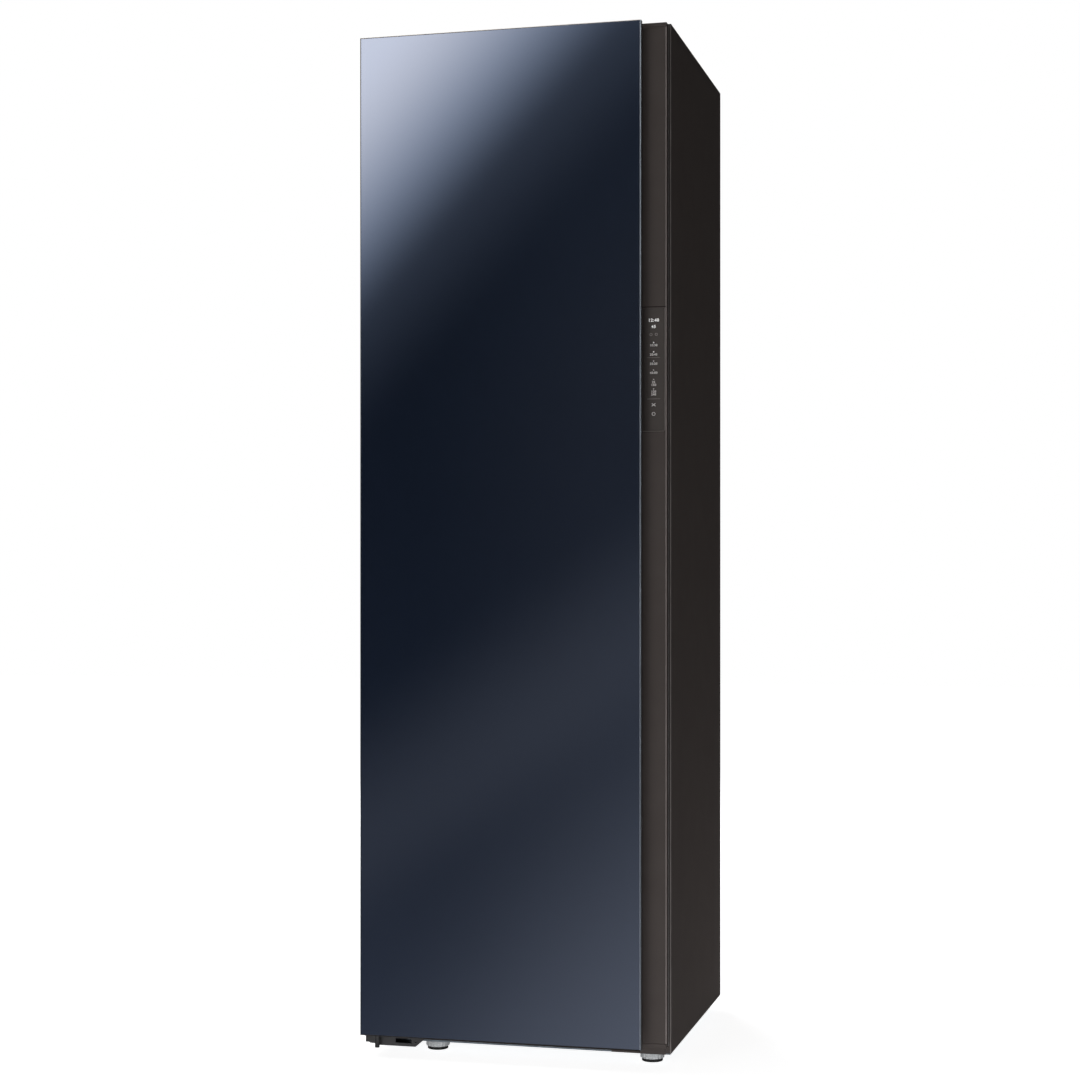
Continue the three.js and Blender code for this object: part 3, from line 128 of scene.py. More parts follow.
# %% Colour and node helpers
SRGB_KNEE = 0.04045
SRGB_SLOPE = 12.92
SRGB_OFFSET = 0.055
SRGB_POWER = 2.4


def linear(hex_colour):
    """Linear RGBA of an sRGB colour such as 0x3a3635."""
    channels = [((hex_colour >> shift) & 0xFF) / 0xFF for shift in (16, 8, 0)]
    return (*(c / SRGB_SLOPE if c <= SRGB_KNEE else ((c + SRGB_OFFSET) / (1 + SRGB_OFFSET)) ** SRGB_POWER
              for c in channels), 1.0)


def add_node(tree, kind, settings=None, inputs=None):
    """A new node of any kind. An input is a value, or another node's output to link from."""
    node = tree.nodes.new(kind)
    for name, value in (settings or {}).items():
        setattr(node, name, value)
    for name, value in (inputs or {}).items():
        socket = node.inputs[name]
        if isinstance(value, bpy.types.NodeSocket):
            tree.links.new(value, socket)
        else:
            socket.default_value = value
    return node


def new_material(name, **shader_values):
    """A material with one Principled shader. Returns it with its tree and the shader node."""
    material = bpy.data.materials.new(name)
    material.use_nodes = True
    tree = material.node_tree
    shader = tree.nodes["Principled BSDF"]
    for socket, value in shader_values.items():
        shader.inputs[socket.replace("_", " ")].default_value = value
    return material, tree, shader


def two_tones(tree, shader, value, first, second, reach=(0.0, 1.0)):
    """Base colour that follows a pattern from one tone to another."""
    ramp = add_node(tree, "ShaderNodeValToRGB", inputs={"Fac": value})
    for stop, place, tone in zip(ramp.color_ramp.elements, reach, (first, second)):
        stop.position = place
        stop.color = linear(tone)
    tree.links.new(ramp.outputs["Color"], shader.inputs["Base Color"])


NOISE_MIDST = (0.35, 0.65)  # most of a noise lies between these values


def mottled(tree, shader, dark, light, size_mm, stretch=(1, 1, 1)):
    """Colour that wanders between two tones. Returns the stretched place and the noise."""
    place = add_node(tree, "ShaderNodeTexCoord")
    mapping = add_node(tree, "ShaderNodeMapping", inputs={
        "Vector": place.outputs["Object"], "Scale": stretch})
    noise = add_node(tree, "ShaderNodeTexNoise", inputs={
        "Vector": mapping.outputs[0], "Scale": 1 / (size_mm * MM), "Detail": 4.0})
    two_tones(tree, shader, noise.outputs["Fac"], dark, light, NOISE_MIDST)
    return mapping.outputs[0], noise.outputs["Fac"]


def grained(tree, shader, vector, grain_mm, depth_mm, strength):
    """Bump from fine noise, as on moulded plastic or sprayed paint. Returns the noise."""
    noise = add_node(tree, "ShaderNodeTexNoise", inputs={
        "Vector": vector, "Scale": 1 / (grain_mm * MM), "Detail": 2.0})
    bump = add_node(tree, "ShaderNodeBump", inputs={
        "Height": noise.outputs["Fac"], "Distance": depth_mm * MM, "Strength": strength})
    tree.links.new(bump.outputs["Normal"], shader.inputs["Normal"])
    return noise.outputs["Fac"]


def rough_range(tree, shader, value, low, high):
    """Roughness that follows a pattern between two values."""
    spread = add_node(tree, "ShaderNodeMapRange", inputs={"Value": value, "To Min": low, "To Max": high})
    tree.links.new(spread.outputs["Result"], shader.inputs["Roughness"])

# %% [markdown]
# ## Studio
#
# A mirror-like door shows the studio around it, so the studio is part of its look. The world gives
# three things to three kinds of ray: white to the camera, an even grey to matt surfaces, and a
# painted studio to polished ones. That studio is dim in front of the door, with one large soft
# box high on the left and a pale floor glow low on the right. Modelling real lamps and flags would
# give the same picture with more noise.

# %% Studio seen by polished surfaces
def smooth_step(tree, value, start, end, low=0.0, high=1.0):
    """Eases from low to high while value goes from start to end."""
    step = add_node(tree, "ShaderNodeMapRange", {"interpolation_type": "SMOOTHSTEP"}, {
        "Value": value, "From Min": start, "From Max": end, "To Min": low, "To Max": high})
    return step.outputs["Result"]


def formula(tree, operation, *terms):
    """Works out ("ADD", a, ("MULTIPLY", b, 2.0)). A term is a number, an output or such a bracket."""
    total, *others = [formula(tree, *term) if isinstance(term, tuple) else term for term in terms]
    for term in others:
        total = add_node(tree, "ShaderNodeMath", {"operation": operation}, {0: total, 1: term}).outputs[0]
    return total


def tinted(tree, share, first, second):
    """Fades from one colour to another, both as linear light."""
    tones = {socket: (*tone, 1.0) if isinstance(tone, tuple) else tone
             for socket, tone in ((6, first), (7, second))}
    return add_node(tree, "ShaderNodeMix", {"data_type": "RGBA"}, {0: share, **tones}).outputs[2]


world = bpy.data.worlds.new("studio")
bpy.context.scene.world = world
world.use_nodes = True
sky = world.node_tree
background = sky.nodes["Background"]
direction = add_node(sky, "ShaderNodeSeparateXYZ", inputs={
    "Vector": add_node(sky, "ShaderNodeTexCoord").outputs["Generated"]})

# Where the ray of a mirrored camera would meet the door's plane, in metres to the right and up
DOOR_AWAY = 3.781  # camera to the glass, measured square to the glass
LEAST_AHEAD = 0.08  # keeps rays that run along the door from dividing by nothing
ahead = formula(sky, "MAXIMUM", ("MULTIPLY", direction.outputs["Y"], -1.0), LEAST_AHEAD)
across, up = (formula(sky, "ADD", ("MULTIPLY", ("DIVIDE", direction.outputs[axis], ahead), DOOR_AWAY), start)
              for axis, start in (("X", CAMERA_PLACE.x), ("Z", CAMERA_PLACE.z)))

# Soft box: its lower right edge crosses the door's upper left corner on a slant.
box_way = formula(sky, "ADD", across, ("MULTIPLY", up, -0.96))
box_edge = smooth_step(sky, box_way, -2.17, -1.63, 1.0, 0.0)
box_far = smooth_step(sky, box_way, -4.6, -3.0)
box_side = smooth_step(sky, formula(sky, "ADD", ("MULTIPLY", across, 0.96), up), -1.6, 0.2)
soft_box = formula(sky, "MULTIPLY", box_edge, box_far, box_side)
HAZE_LEVEL = 0.54  # light that spills past the soft box's edge
box_haze = smooth_step(sky, box_way, -1.90, -1.40, HAZE_LEVEL, 0.0)
RIGHT_LEVEL = 0.08  # the room is a little lighter to the right
right_side = smooth_step(sky, across, -0.25, 0.30, 0.0, RIGHT_LEVEL)

# The box's spill is bluer than its middle.
BOX_TINT, SPILL_TINT, NO_TINT = (1.0, 0.97, 0.93), (0.79, 0.90, 1.04), (1.0, 1.0, 1.0)
box_tint = tinted(sky, smooth_step(sky, box_way, -2.05, -1.65), BOX_TINT, SPILL_TINT)
studio_tint = tinted(sky, smooth_step(sky, box_way, -1.45, -1.05), box_tint, NO_TINT)

# Horizon band, rising to the right, and the glow of the floor at the lower right
band_way = formula(sky, "SUBTRACT", ("MULTIPLY", across, 0.66), up)
band = formula(sky, "MULTIPLY", smooth_step(sky, band_way, -0.93, -0.60),
               smooth_step(sky, band_way, -0.60, -0.42, 1.0, 0.55))
glow = smooth_step(sky, formula(sky, "SUBTRACT", across, up), -0.50, 0.45)

SOFT_BOX_LEVEL = 6.5
BAND_LEVEL = 0.205
GLOW_LEVEL = 0.75
DIM_LEVEL = 0.005
front_level = formula(sky, "ADD", ("MULTIPLY", soft_box, SOFT_BOX_LEVEL), box_haze, right_side,
                      ("MULTIPLY", band, BAND_LEVEL), ("MULTIPLY", glow, GLOW_LEVEL))

# Behind and beside the door the room is an even grey, as matt paint there shows hardly any gloss.
BACK_LEVEL = 0.01
towards_front = smooth_step(sky, direction.outputs["Y"], -0.10, -0.30)
studio_level = formula(sky, "ADD", ("MULTIPLY", towards_front, front_level), (
    "MULTIPLY", ("SUBTRACT", 1.0, towards_front), BACK_LEVEL), DIM_LEVEL)
print("studio painted for polished surfaces")

# %% Give each kind of ray its own background
EVEN_LEVEL = 0.06
WHITE_LEVEL = 1.0
ray = add_node(sky, "ShaderNodeLightPath")
glossy = ray.outputs["Is Glossy Ray"]
seen = formula(sky, "MAXIMUM", ray.outputs["Is Camera Ray"], ray.outputs["Is Transmission Ray"])
plain = add_node(sky, "ShaderNodeMix", {"data_type": "FLOAT"}, {0: seen, 2: EVEN_LEVEL, 3: WHITE_LEVEL})
strength = add_node(sky, "ShaderNodeMix", {"data_type": "FLOAT"}, {
    0: glossy, 2: plain.outputs[0], 3: studio_level})
sky.links.new(strength.outputs[0], background.inputs["Strength"])
sky.links.new(tinted(sky, glossy, NO_TINT, studio_tint), background.inputs["Color"])

# %% [markdown]
# The lamps are large and soft. The key stands to the left of the camera, so the door's overhanging
# glass shades the painted strip beside it, and the cabinet's right side stays dark. They are hidden
# from mirrors, because the painted studio already holds their reflection.

# %% Lamps and floor
AIM = Vector((0.0, -0.3, 0.95))


def studio_lamp(name, place, size, watts):
    """A square soft lamp turned towards the middle of the cabinet."""
    data = bpy.data.lights.new(name, "AREA")
    data.size = size
    data.energy = watts
    lamp = add_object(name, data)
    aim(lamp, place, AIM - Vector(place))
    lamp.visible_glossy = False
    lamp.visible_camera = False


studio_lamp("key_lamp", (-2.2, -4.5, 1.0), 2.2, 44)
studio_lamp("fill_lamp", (0.9, -2.7, 0.15), 1.2, 16)
studio_lamp("top_lamp", (-0.7, 0.4, 4.6), 2.0, 80)
studio_lamp("rear_lamp", (-2.4, 4.2, 2.4), 2.2, 110)

FLOOR_HALF = 14.0
floor_mesh = bpy.data.meshes.new("studio_floor")
floor_mesh.from_pydata([(-FLOOR_HALF, -FLOOR_HALF, 0), (FLOOR_HALF, -FLOOR_HALF, 0),
                        (FLOOR_HALF, FLOOR_HALF, 0), (-FLOOR_HALF, FLOOR_HALF, 0)], [], [(0, 1, 2, 3)])
floor = add_object("studio_floor", floor_mesh)
floor.visible_glossy = False
paper, paper_tree, paper_shader = new_material(
    "white_studio_paper", Base_Color=linear(0xe6e6e6), Roughness=0.9, Specular_IOR_Level=0.0,
    Emission_Color=linear(0xffffff))
NEAR_LIFT = 0.88  # near the cabinet the lamps do the rest, so the paper is white but takes a shadow
FAR_LIFT = 0.97  # far off, where the lamps don't reach
POOL_LEVEL = 1.15  # light that the paper round the cabinet throws back up, strongest low down
paper_away = add_node(paper_tree, "ShaderNodeVectorMath", {"operation": "LENGTH"}, {
    "Vector": add_node(paper_tree, "ShaderNodeTexCoord").outputs["Object"]}).outputs["Value"]
pool = smooth_step(paper_tree, paper_away, 0.5, 2.0, POOL_LEVEL, 0.0)
lift = smooth_step(paper_tree, paper_away, 0.8, 3.2, NEAR_LIFT, FAR_LIFT)
paper_ray = add_node(paper_tree, "ShaderNodeLightPath")
paper_glow = add_node(paper_tree, "ShaderNodeMix", {"data_type": "FLOAT"}, {
    0: paper_ray.outputs["Is Camera Ray"], 2: pool, 3: lift})
paper_tree.links.new(paper_glow.outputs[0], paper_shader.inputs["Emission Strength"])
floor_mesh.materials.append(paper)
print("floor and four lamps in place")

# %% [markdown]
# ## Door glass
#
# The door's face is 4 mm float glass with a dark mirror coating fired onto its back, which makes it
# almost black in itself and a clear bluish mirror for what stands in front. The two can be one
# shader: a dark body colour for the coating, and a high refractive index for the strong reflection.
# A real clear layer over a mirror would be slower and noisier, for a picture that looks the same.

# %% Mirror-coated glass
def mirror_coated_glass():
    """Polished and nearly black, with a strong bluish reflection."""
    material, tree, shader = new_material("mirror_coated_float_glass", IOR=2.0,
                                          Specular_Tint=(0.71, 0.79, 1.0, 1.0))
    noise = mottled(tree, shader, 0x1a2231, 0x1c2433, 400)[1]
    rough_range(tree, shader, noise, 0.025, 0.035)
    return material

# %% [markdown]
# ## Metals
#
# Four metals show: anodised aluminium round the glass, with upright brush lines; zinc on the base,
# the back and the feet, with its faint crystal pattern; plain brushed steel on the rail; and copper
# tube between aluminium fins in the machine bay. Brushing is noise stretched along one axis, and
# zinc crystals are the cells of a Voronoi pattern.

# %% Metal recipes
def anodised_aluminium(name, dark, light, roughness):
    """Satin anodised aluminium with upright brush lines."""
    material, tree, shader = new_material(name, Metallic=1.0)
    place, noise = mottled(tree, shader, dark, light, 1.2, (1, 1, 0.02))
    rough_range(tree, shader, noise, roughness - 0.06, roughness + 0.06)
    grained(tree, shader, place, 0.8, 0.02, 0.3)
    return material


def crystal_metal(name, dark, light, spangle_mm, roughness, metallic=1.0):
    """Galvanised sheet or cast metal: each crystal takes the light a little differently."""
    material, tree, shader = new_material(name, Metallic=metallic)
    place = add_node(tree, "ShaderNodeTexCoord")
    cells = add_node(tree, "ShaderNodeTexVoronoi", inputs={
        "Vector": place.outputs["Object"], "Scale": 1 / (spangle_mm * MM)})
    tone = add_node(tree, "ShaderNodeSeparateColor", inputs={"Color": cells.outputs["Color"]})
    two_tones(tree, shader, tone.outputs["Red"], dark, light)
    rough_range(tree, shader, tone.outputs["Green"], roughness - 0.05, roughness + 0.08)
    grained(tree, shader, place.outputs["Object"], 1.5, 0.03, 0.25)
    return material


def brushed_metal(name, dark, light, roughness, stretch=(0.02, 1, 1)):
    """Bare metal with a fine brushed or rolled finish along one axis."""
    material, tree, shader = new_material(name, Metallic=1.0)
    place, noise = mottled(tree, shader, dark, light, 0.9, stretch)
    rough_range(tree, shader, noise, roughness - 0.05, roughness + 0.07)
    grained(tree, shader, place, 0.6, 0.02, 0.3)
    return material

# %% [markdown]
# ## Paint, plastics, rubber and foam
#
# The casing is powder-coated: matt, with a fine orange-peel surface. Mouldings are ABS with a spark
# texture, the chamber is smooth vacuum-formed polystyrene, the seal is soft black elastomer and the
# insulation is moulded bead foam. Each one is a colour that hardly varies and a bump at its own
# real scale, drawn a little coarser than life so that it still shows.

# %% Paint and moulding recipes
def sprayed_paint(name, dark, light, roughness, specular):
    """Powder coat or enamel. Its orange peel is about 1 mm wide on real doors and 1.5 mm here."""
    material, tree, shader = new_material(name, Specular_IOR_Level=specular)
    place = mottled(tree, shader, dark, light, 60)[0]
    grain = grained(tree, shader, place, 1.5, 0.05, 0.35)
    rough_range(tree, shader, grain, roughness - 0.05, roughness + 0.06)
    return material


def moulded_plastic(name, dark, light, roughness, grain_mm=0.9, depth_mm=0.03, specular=0.4, **glow):
    """Moulded plastic, rubber or ground glass, with a fine even grain."""
    material, tree, shader = new_material(name, Specular_IOR_Level=specular, **glow)
    place = mottled(tree, shader, dark, light, 45)[0]
    grain = grained(tree, shader, place, grain_mm, depth_mm, 0.4)
    rough_range(tree, shader, grain, roughness - 0.05, roughness + 0.05)
    return material


def bead_foam():
    """Expanded polystyrene: pale beads about 4 mm across, pressed flat against each other."""
    material, tree, shader = new_material("expanded_polystyrene_foam", Roughness=0.9,
                                          Specular_IOR_Level=0.1)
    place = add_node(tree, "ShaderNodeTexCoord")
    beads = add_node(tree, "ShaderNodeTexVoronoi", inputs={
        "Vector": place.outputs["Object"], "Scale": 1 / (4 * MM)})
    two_tones(tree, shader, beads.outputs["Distance"], 0xececea, 0xd6d6d3)
    bump = add_node(tree, "ShaderNodeBump", {"invert": True}, {
        "Height": beads.outputs["Distance"], "Distance": 0.4 * MM, "Strength": 0.5})
    tree.links.new(bump.outputs["Normal"], shader.inputs["Normal"])
    return material


def clear_tank_plastic():
    """Smoke-tinted clear styrene that lets the water behind it show."""
    material, tree, shader = new_material("tinted_clear_styrene", Base_Color=linear(0xc4d0d8), IOR=1.57,
                                          Transmission_Weight=0.85)
    place = add_node(tree, "ShaderNodeTexCoord")
    ripple = grained(tree, shader, place.outputs["Object"], 30, 0.1, 0.15)
    rough_range(tree, shader, ripple, 0.06, 0.12)
    return material


finish_of = {
    "navy_glass": mirror_coated_glass(),
    "pale_trim": anodised_aluminium("pale_anodised_aluminium", 0x857f79, 0x968f88, 0.38),
    "dark_trim": anodised_aluminium("bronze_anodised_aluminium", 0x262322, 0x312d2b, 0.42),
    "bright_trim": anodised_aluminium("polished_anodised_aluminium", 0x778087, 0x8a939c, 0.25),
    "brown_paint": sprayed_paint("charcoal_brown_powder_coat", 0x413b39, 0x443e3c, 0.55, 0.17),
    "bracket_paint": sprayed_paint("dark_grey_e_coat_on_steel", 0x222224, 0x28282a, 0.45, 0.4),
    "brown_plastic": moulded_plastic("charcoal_brown_moulded_abs", 0x413b39, 0x443e3c, 0.55, specular=0.18),
    "black_plastic": moulded_plastic("black_moulded_abs", 0x1c1c1e, 0x232325, 0.45),
    "panel_plastic": moulded_plastic("charcoal_touch_panel_polycarbonate", 0x332e2c, 0x35302e, 0.45,
                                     3.0, 0.004, 0.25),
    "grey_plastic": moulded_plastic("grey_moulded_abs", 0x8b8e91, 0x939699, 0.5),
    "white_plastic": moulded_plastic("pale_vacuum_formed_styrene", 0xdadcde, 0xdee0e2, 0.42, 2.5, 0.01),
    "galvanised_steel": crystal_metal("galvanised_sheet_steel", 0x666e76, 0x7b838b, 9.0, 0.42, 0.85),
    "pale_steel": brushed_metal("zinc_plated_steel", 0x9a9c9f, 0xb2b4b6, 0.36),
    "compressor_paint": sprayed_paint("black_gloss_enamel_on_steel", 0x161618, 0x1b1b1d, 0.25, 0.5),
    "rubber": moulded_plastic("black_elastomer", 0x131313, 0x1a1a1a, 0.75, 1.2, 0.06, 0.3),
    "insulation": bead_foam(),
    "tank_plastic": clear_tank_plastic(),
    "cast_aluminium": crystal_metal("sand_cast_aluminium", 0x8d8f91, 0xa0a2a4, 1.5, 0.6, 0.9),
    "fin_aluminium": brushed_metal("rolled_fin_aluminium", 0xb0b2b4, 0xc2c4c6, 0.35, (1, 1, 0.05)),
}
# The rounded front folds of the side sheets take a lighter tone of the powder coat: a painted highlight along
# each fold.
fold_highlight_paint = sprayed_paint("powder_coat_with_painted_fold_highlight", 0x726c6a, 0x7a7472, 0.42, 0.35)
# Painted highlight for the grip strip's outer edge.
strip_edge_highlight_paint = sprayed_paint("powder_coat_with_painted_edge_highlight", 0x7c7472, 0x847c7a, 0.42, 0.35)
# Painted highlight for the glass's right edge.
glass_edge_highlight_paint = moulded_plastic("mirror_glass_with_painted_edge_highlight", 0x747a85, 0x7c828d, 0.5, 0.6, 0.01, 0.4)
# Painted shadow and painted highlight for the thin lines round the touch panel: the shade in its gap and the
# lit tone of its lip.
shadow_line = sprayed_paint("painted_shadow_in_panel_gap", 0x0a0909, 0x0e0d0d, 0.9, 0.05)
lip_edge = sprayed_paint("lit_lip_of_panel", 0x5e5856, 0x645e5c, 0.5, 0.3)
# The back stands in a damp corner for years, so its zinc has dulled to a pale, nearly matt grey.
dulled_zinc = crystal_metal("dulled_galvanised_sheet_steel", 0x8a9094, 0x9ea4a8, 9.0, 0.55, 0.2)
for name, node in nodes.items():
    node.data.materials.clear()
    node.data.materials.append(finish_of[slot_of[name]])
print(len(finish_of), "finishes given to", len(nodes), "nodes")

# %% [markdown]
# ## Softened edges
#
# No folded sheet, drawn angle or moulding has a razor-sharp edge, and the fine line of light along a
# rounded edge tells the eye where one piece ends. So each plain solid is copied, its triangles are
# merged back to whole faces, and its sharp edges are rounded by what the real process leaves: 0.3 mm
# on a drawn angle, half a millimetre on folded sheet, 2 mm on a blow-moulded tank. Rounding in mesh
# code, and not by a live modifier, lets edges that are too short for it be left out.

# %% A copy of a CAD solid with rounded edges
LEAST_EDGE = 2.4  # shortest edge that is rounded, as a multiple of the rounding
FRONT_FOLD = 1.6  # rounding of the side sheets' front folds, in millimetres
CASE_FRONT = -255.0  # those folds lie ahead of this depth
UPRIGHT_SHARE = 0.99
FLAT_ANGLE = math.radians(0.5)
SHARP_ANGLE = math.radians(28)
CREASE_ANGLE = math.radians(50)
MERGE = 0.02 * MM


def evaluated_mesh(holder):
    """The plain mesh of an object with its modifiers or its letters worked out."""
    return bpy.data.meshes.new_from_object(holder.evaluated_get(bpy.context.evaluated_depsgraph_get()))


def mesh_of(shape, name):
    """A mesh made from a bmesh, which is freed."""
    mesh = bpy.data.meshes.new(name)
    shape.to_mesh(mesh)
    shape.free()
    return mesh


def piece_from(shape, name, finish, body, node_names=(), even=True, edge_finish=None):
    """Turns a bmesh into a piece that rides on a body and may stand for CAD nodes."""
    for face in shape.faces:
        face.smooth = True
    mesh = mesh_of(shape, name)
    mesh.set_sharp_from_angle(angle=CREASE_ANGLE)
    mesh.materials.append(finish_of[finish] if isinstance(finish, str) else finish)
    if edge_finish:
        mesh.materials.append(edge_finish)
    piece = add_object(name, mesh)
    if even:
        piece.modifiers.new("even_normals", "WEIGHTED_NORMAL").keep_sharp = True
        mesh = evaluated_mesh(piece)
        piece.modifiers.clear()
        piece.data = mesh
    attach(piece, body)
    if node_names:
        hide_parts(*node_names)
    return piece


def merged_copy(node_name):
    """A bmesh of a CAD node with its doubles merged and its flat triangles joined to faces."""
    shape = bmesh.new()
    shape.from_mesh(nodes[node_name].data)
    bmesh.ops.remove_doubles(shape, verts=shape.verts, dist=MERGE)
    bmesh.ops.dissolve_limit(shape, angle_limit=FLAT_ANGLE, verts=shape.verts, edges=shape.edges)
    return shape


def round_edges(shape, round_mm, segments=2, edge_index=-1, wanted=None):
    """Rounds sharp edges that are long enough to take it. edge_index is the rounding's material."""
    least = LEAST_EDGE * round_mm * MM
    sharp = [edge for edge in shape.edges if len(edge.link_faces) == 2
             and edge.calc_face_angle(0.0) > SHARP_ANGLE and edge.calc_length() > least
             and (wanted is None or wanted(edge))]
    bmesh.ops.bevel(shape, geom=sharp, offset=round_mm * MM, offset_type="OFFSET", segments=segments,
                    profile=0.5, affect="EDGES", clamp_overlap=False, material=edge_index)


def is_front_fold(edge, fold_x):
    """Whether an edge is the upright fold at the front of a side sheet."""
    near = all(abs(vert.co.x - fold_x * MM) < MM and vert.co.y < CASE_FRONT * MM for vert in edge.verts)
    rise = abs(edge.verts[1].co.z - edge.verts[0].co.z)
    return near and rise > UPRIGHT_SHARE * edge.calc_length()


def softened(node_name, round_mm, segments=2, fold_x=None):
    """The piece that stands for one CAD node, with its edges rounded. fold_x is where a front fold lies."""
    shape = merged_copy(node_name)
    # A front fold's rounding takes the lighter paint, a painted highlight along the fold.
    if fold_x:
        round_edges(shape, FRONT_FOLD, segments, 1, lambda edge: is_front_fold(edge, fold_x))
    round_edges(shape, round_mm, segments)
    return piece_from(shape, node_name + "_rounded", slot_of[node_name], body_of[node_name], [node_name],
                      edge_finish=fold_highlight_paint if fold_x else None)


# %% Round the outside pieces
outside_rounding = {
    "door_trim_left": 0.3, "door_trim_right": 0.25, "door_trim_bottom": 0.3, "door_trim_top": 0.3,
    "door_glass": 0.5, "door_grip_strip": 0.35, "door_cap_bottom": 0.5, "door_cap_top": 0.25,
    "control_panel": 0.5, "side_panel_left": 0.5, "side_panel_right": 0.5, "top_panel": 0.4,
    "back_panel": 0.5, "rear_service_cover": 0.5, "skirt_cover": 0.3, "front_frame": 0.8,
    "base_pan": 0.5, "hinge_bracket_upper": 0.6, "hinge_bracket_lower": 0.6,
}
fold_place = {"side_panel_left": cad_low[0] / MM, "side_panel_right": cad_high[0] / MM}
rounded = {name: softened(name, round_mm, fold_x=fold_place.get(name))
           for name, round_mm in outside_rounding.items()}
for name in ("back_panel", "rear_service_cover"):
    rounded[name].data.materials[0] = dulled_zinc
print(len(rounded), "outside pieces rounded")

# %% Round the inside pieces
inside_rounding = {
    "door_shell": (0.4, 2), "door_bush_lower": (0.4, 2), "door_bush_upper": (0.4, 2), "door_liner": (0.9, 2),
    "door_plug_frame": (1.4, 3), "chamber_wall_left": (0.9, 2), "chamber_wall_right": (0.9, 2),
    "chamber_wall_rear": (0.9, 2), "chamber_floor": (0.6, 2), "chamber_ceiling": (0.6, 2),
    "lint_filter": (0.7, 2), "lamp_lens": (0.5, 2), "rear_duct": (0.8, 2), "plenum_cover": (1.2, 2),
    "hanger_rail": (0.8, 2), "hanger_1": (1.6, 3), "hanger_2": (1.6, 3), "hanger_3": (1.6, 3),
    "jet_wheel": (0.3, 1), "jet_motor": (1.5, 3), "tank_bay": (1.0, 2), "supply_tank": (2.0, 3),
    "drain_tank": (2.0, 3), "blower_housing": (0.7, 2), "steam_generator": (2.5, 3), "water_pump": (0.8, 2),
    "blower_wheel": (0.3, 1), "blower_motor": (1.5, 3),
}
for name, (round_mm, segments) in inside_rounding.items():
    rounded[name] = softened(name, round_mm, segments)
print(len(rounded), "pieces rounded,", sum(len(p.data.polygons) for p in rounded.values()), "faces")

# %% [markdown]
# ## Lofts, lathes and sweeps
#
# Screws, caps, glands and seals are all rings of points joined by quads. One function joins the
# rings, and each shape only says where its rings lie. Every ring runs anticlockwise as seen from the
# end that the loft moves towards, so the faces point outwards without any repair.

# %% Ring helpers
def loft(shape, rings, closed=False):
    """Joins rings of equal length by quads. An open loft gets both ends capped."""
    made = [[shape.verts.new(point) for point in ring] for ring in rings]
    pairs = list(zip(made, made[1:])) + ([(made[-1], made[0])] if closed else [])
    for low, high in pairs:
        for i in range(len(low)):
            j = (i + 1) % len(low)
            shape.faces.new((low[i], low[j], high[j], high[i]))
    if not closed:
        shape.faces.new(list(reversed(made[0])))
        shape.faces.new(made[-1])
    return [vert for ring in made for vert in ring]


UP, DOWN, FRONT, BACK, RIGHT = (0, 0, 1), (0, 0, -1), (0, -1, 0), (0, 1, 0), (1, 0, 0)
STOOD_UP = Matrix.Rotation(math.radians(90), 4, "X")  # turns a flat outline to face the front


def moved_to(place):
    """Matrix that moves to a place given in millimetres."""
    return Matrix.Translation(Vector(place) * MM)


def lathe(shape, profile, place, facing=UP, sides=32, radius_at=None):
    """Turns (radius, height) pairs in millimetres about an axis. radius_at(angle, radius) may flute it."""
    rings = []
    for radius, height in profile:
        ring = []
        for i in range(sides):
            angle = 2 * math.pi * i / sides
            reach = (radius_at(angle, radius) if radius_at else radius) * MM
            ring.append((reach * math.cos(angle), reach * math.sin(angle), height * MM))
        rings.append(ring)
    turn = Vector(facing).to_track_quat("Z", "Y").to_matrix().to_4x4()
    bmesh.ops.transform(shape, matrix=moved_to(place) @ turn, verts=loft(shape, rings))


def prism(shape, outline, depths, place=(0, 0, 0), facing=UP):
    """A flat outline of (across, up) points in millimetres, given a thickness along its facing."""
    rings = [[(a * MM, b * MM, depth * MM) for a, b in outline] for depth in depths]
    turn = STOOD_UP if facing == FRONT else Vector(facing).to_track_quat("Z", "Y").to_matrix().to_4x4()
    bmesh.ops.transform(shape, matrix=moved_to(place) @ turn, verts=loft(shape, rings))


def turned(name, finish, body, profile, place, facing=UP, sides=32, radius_at=None, stands_for=()):
    """A piece that is one lathe shape."""
    shape = bmesh.new()
    lathe(shape, profile, place, facing, sides, radius_at)
    return piece_from(shape, name, finish, body, stands_for)


def pressed(name, finish, body, outline, depths, place=(0, 0, 0), facing=UP):
    """A piece that is one prism."""
    shape = bmesh.new()
    prism(shape, outline, depths, place, facing)
    return piece_from(shape, name, finish, body, even=False)


def rounded_outline(width, height, corner, steps=4):
    """Anticlockwise outline of a rounded rectangle about its middle, in millimetres."""
    outline = []
    for quarter, (a, b) in enumerate(((1, 1), (-1, 1), (-1, -1), (1, -1))):
        for step in range(steps + 1):
            angle = math.radians(90) * (quarter + step / steps)
            outline.append((a * (width / 2 - corner) + corner * math.cos(angle),
                            b * (height / 2 - corner) + corner * math.sin(angle)))
    return outline

# %% [markdown]
# ## Touch panel marks
#
# The panel is a smooth moulded face with small printed marks: a time read-out at the top, six
# programme lights, each over its number, and a start ring at the foot. Printing is about 0.05 mm
# thick, so each mark is a thin prism on the panel's face. A painted texture would need a picture
# file or a long node tree, and thin prisms keep their sharp outline in every view.

# %% Inks and mark helpers
PRINT = 0.06  # thickness of the printed marks, in millimetres
panel_low, panel_high = box_mm("control_panel")


def printed(name, tone, roughness=0.4, **glow):
    """Screen-printed ink: flat, a little glossier than the panel, and slightly uneven in its tone."""
    material, tree, shader = new_material(name, **glow)
    noise = mottled(tree, shader, tone, tone + 0x080808, 3)[1]
    rough_range(tree, shader, noise, roughness - 0.05, roughness + 0.05)
    return material


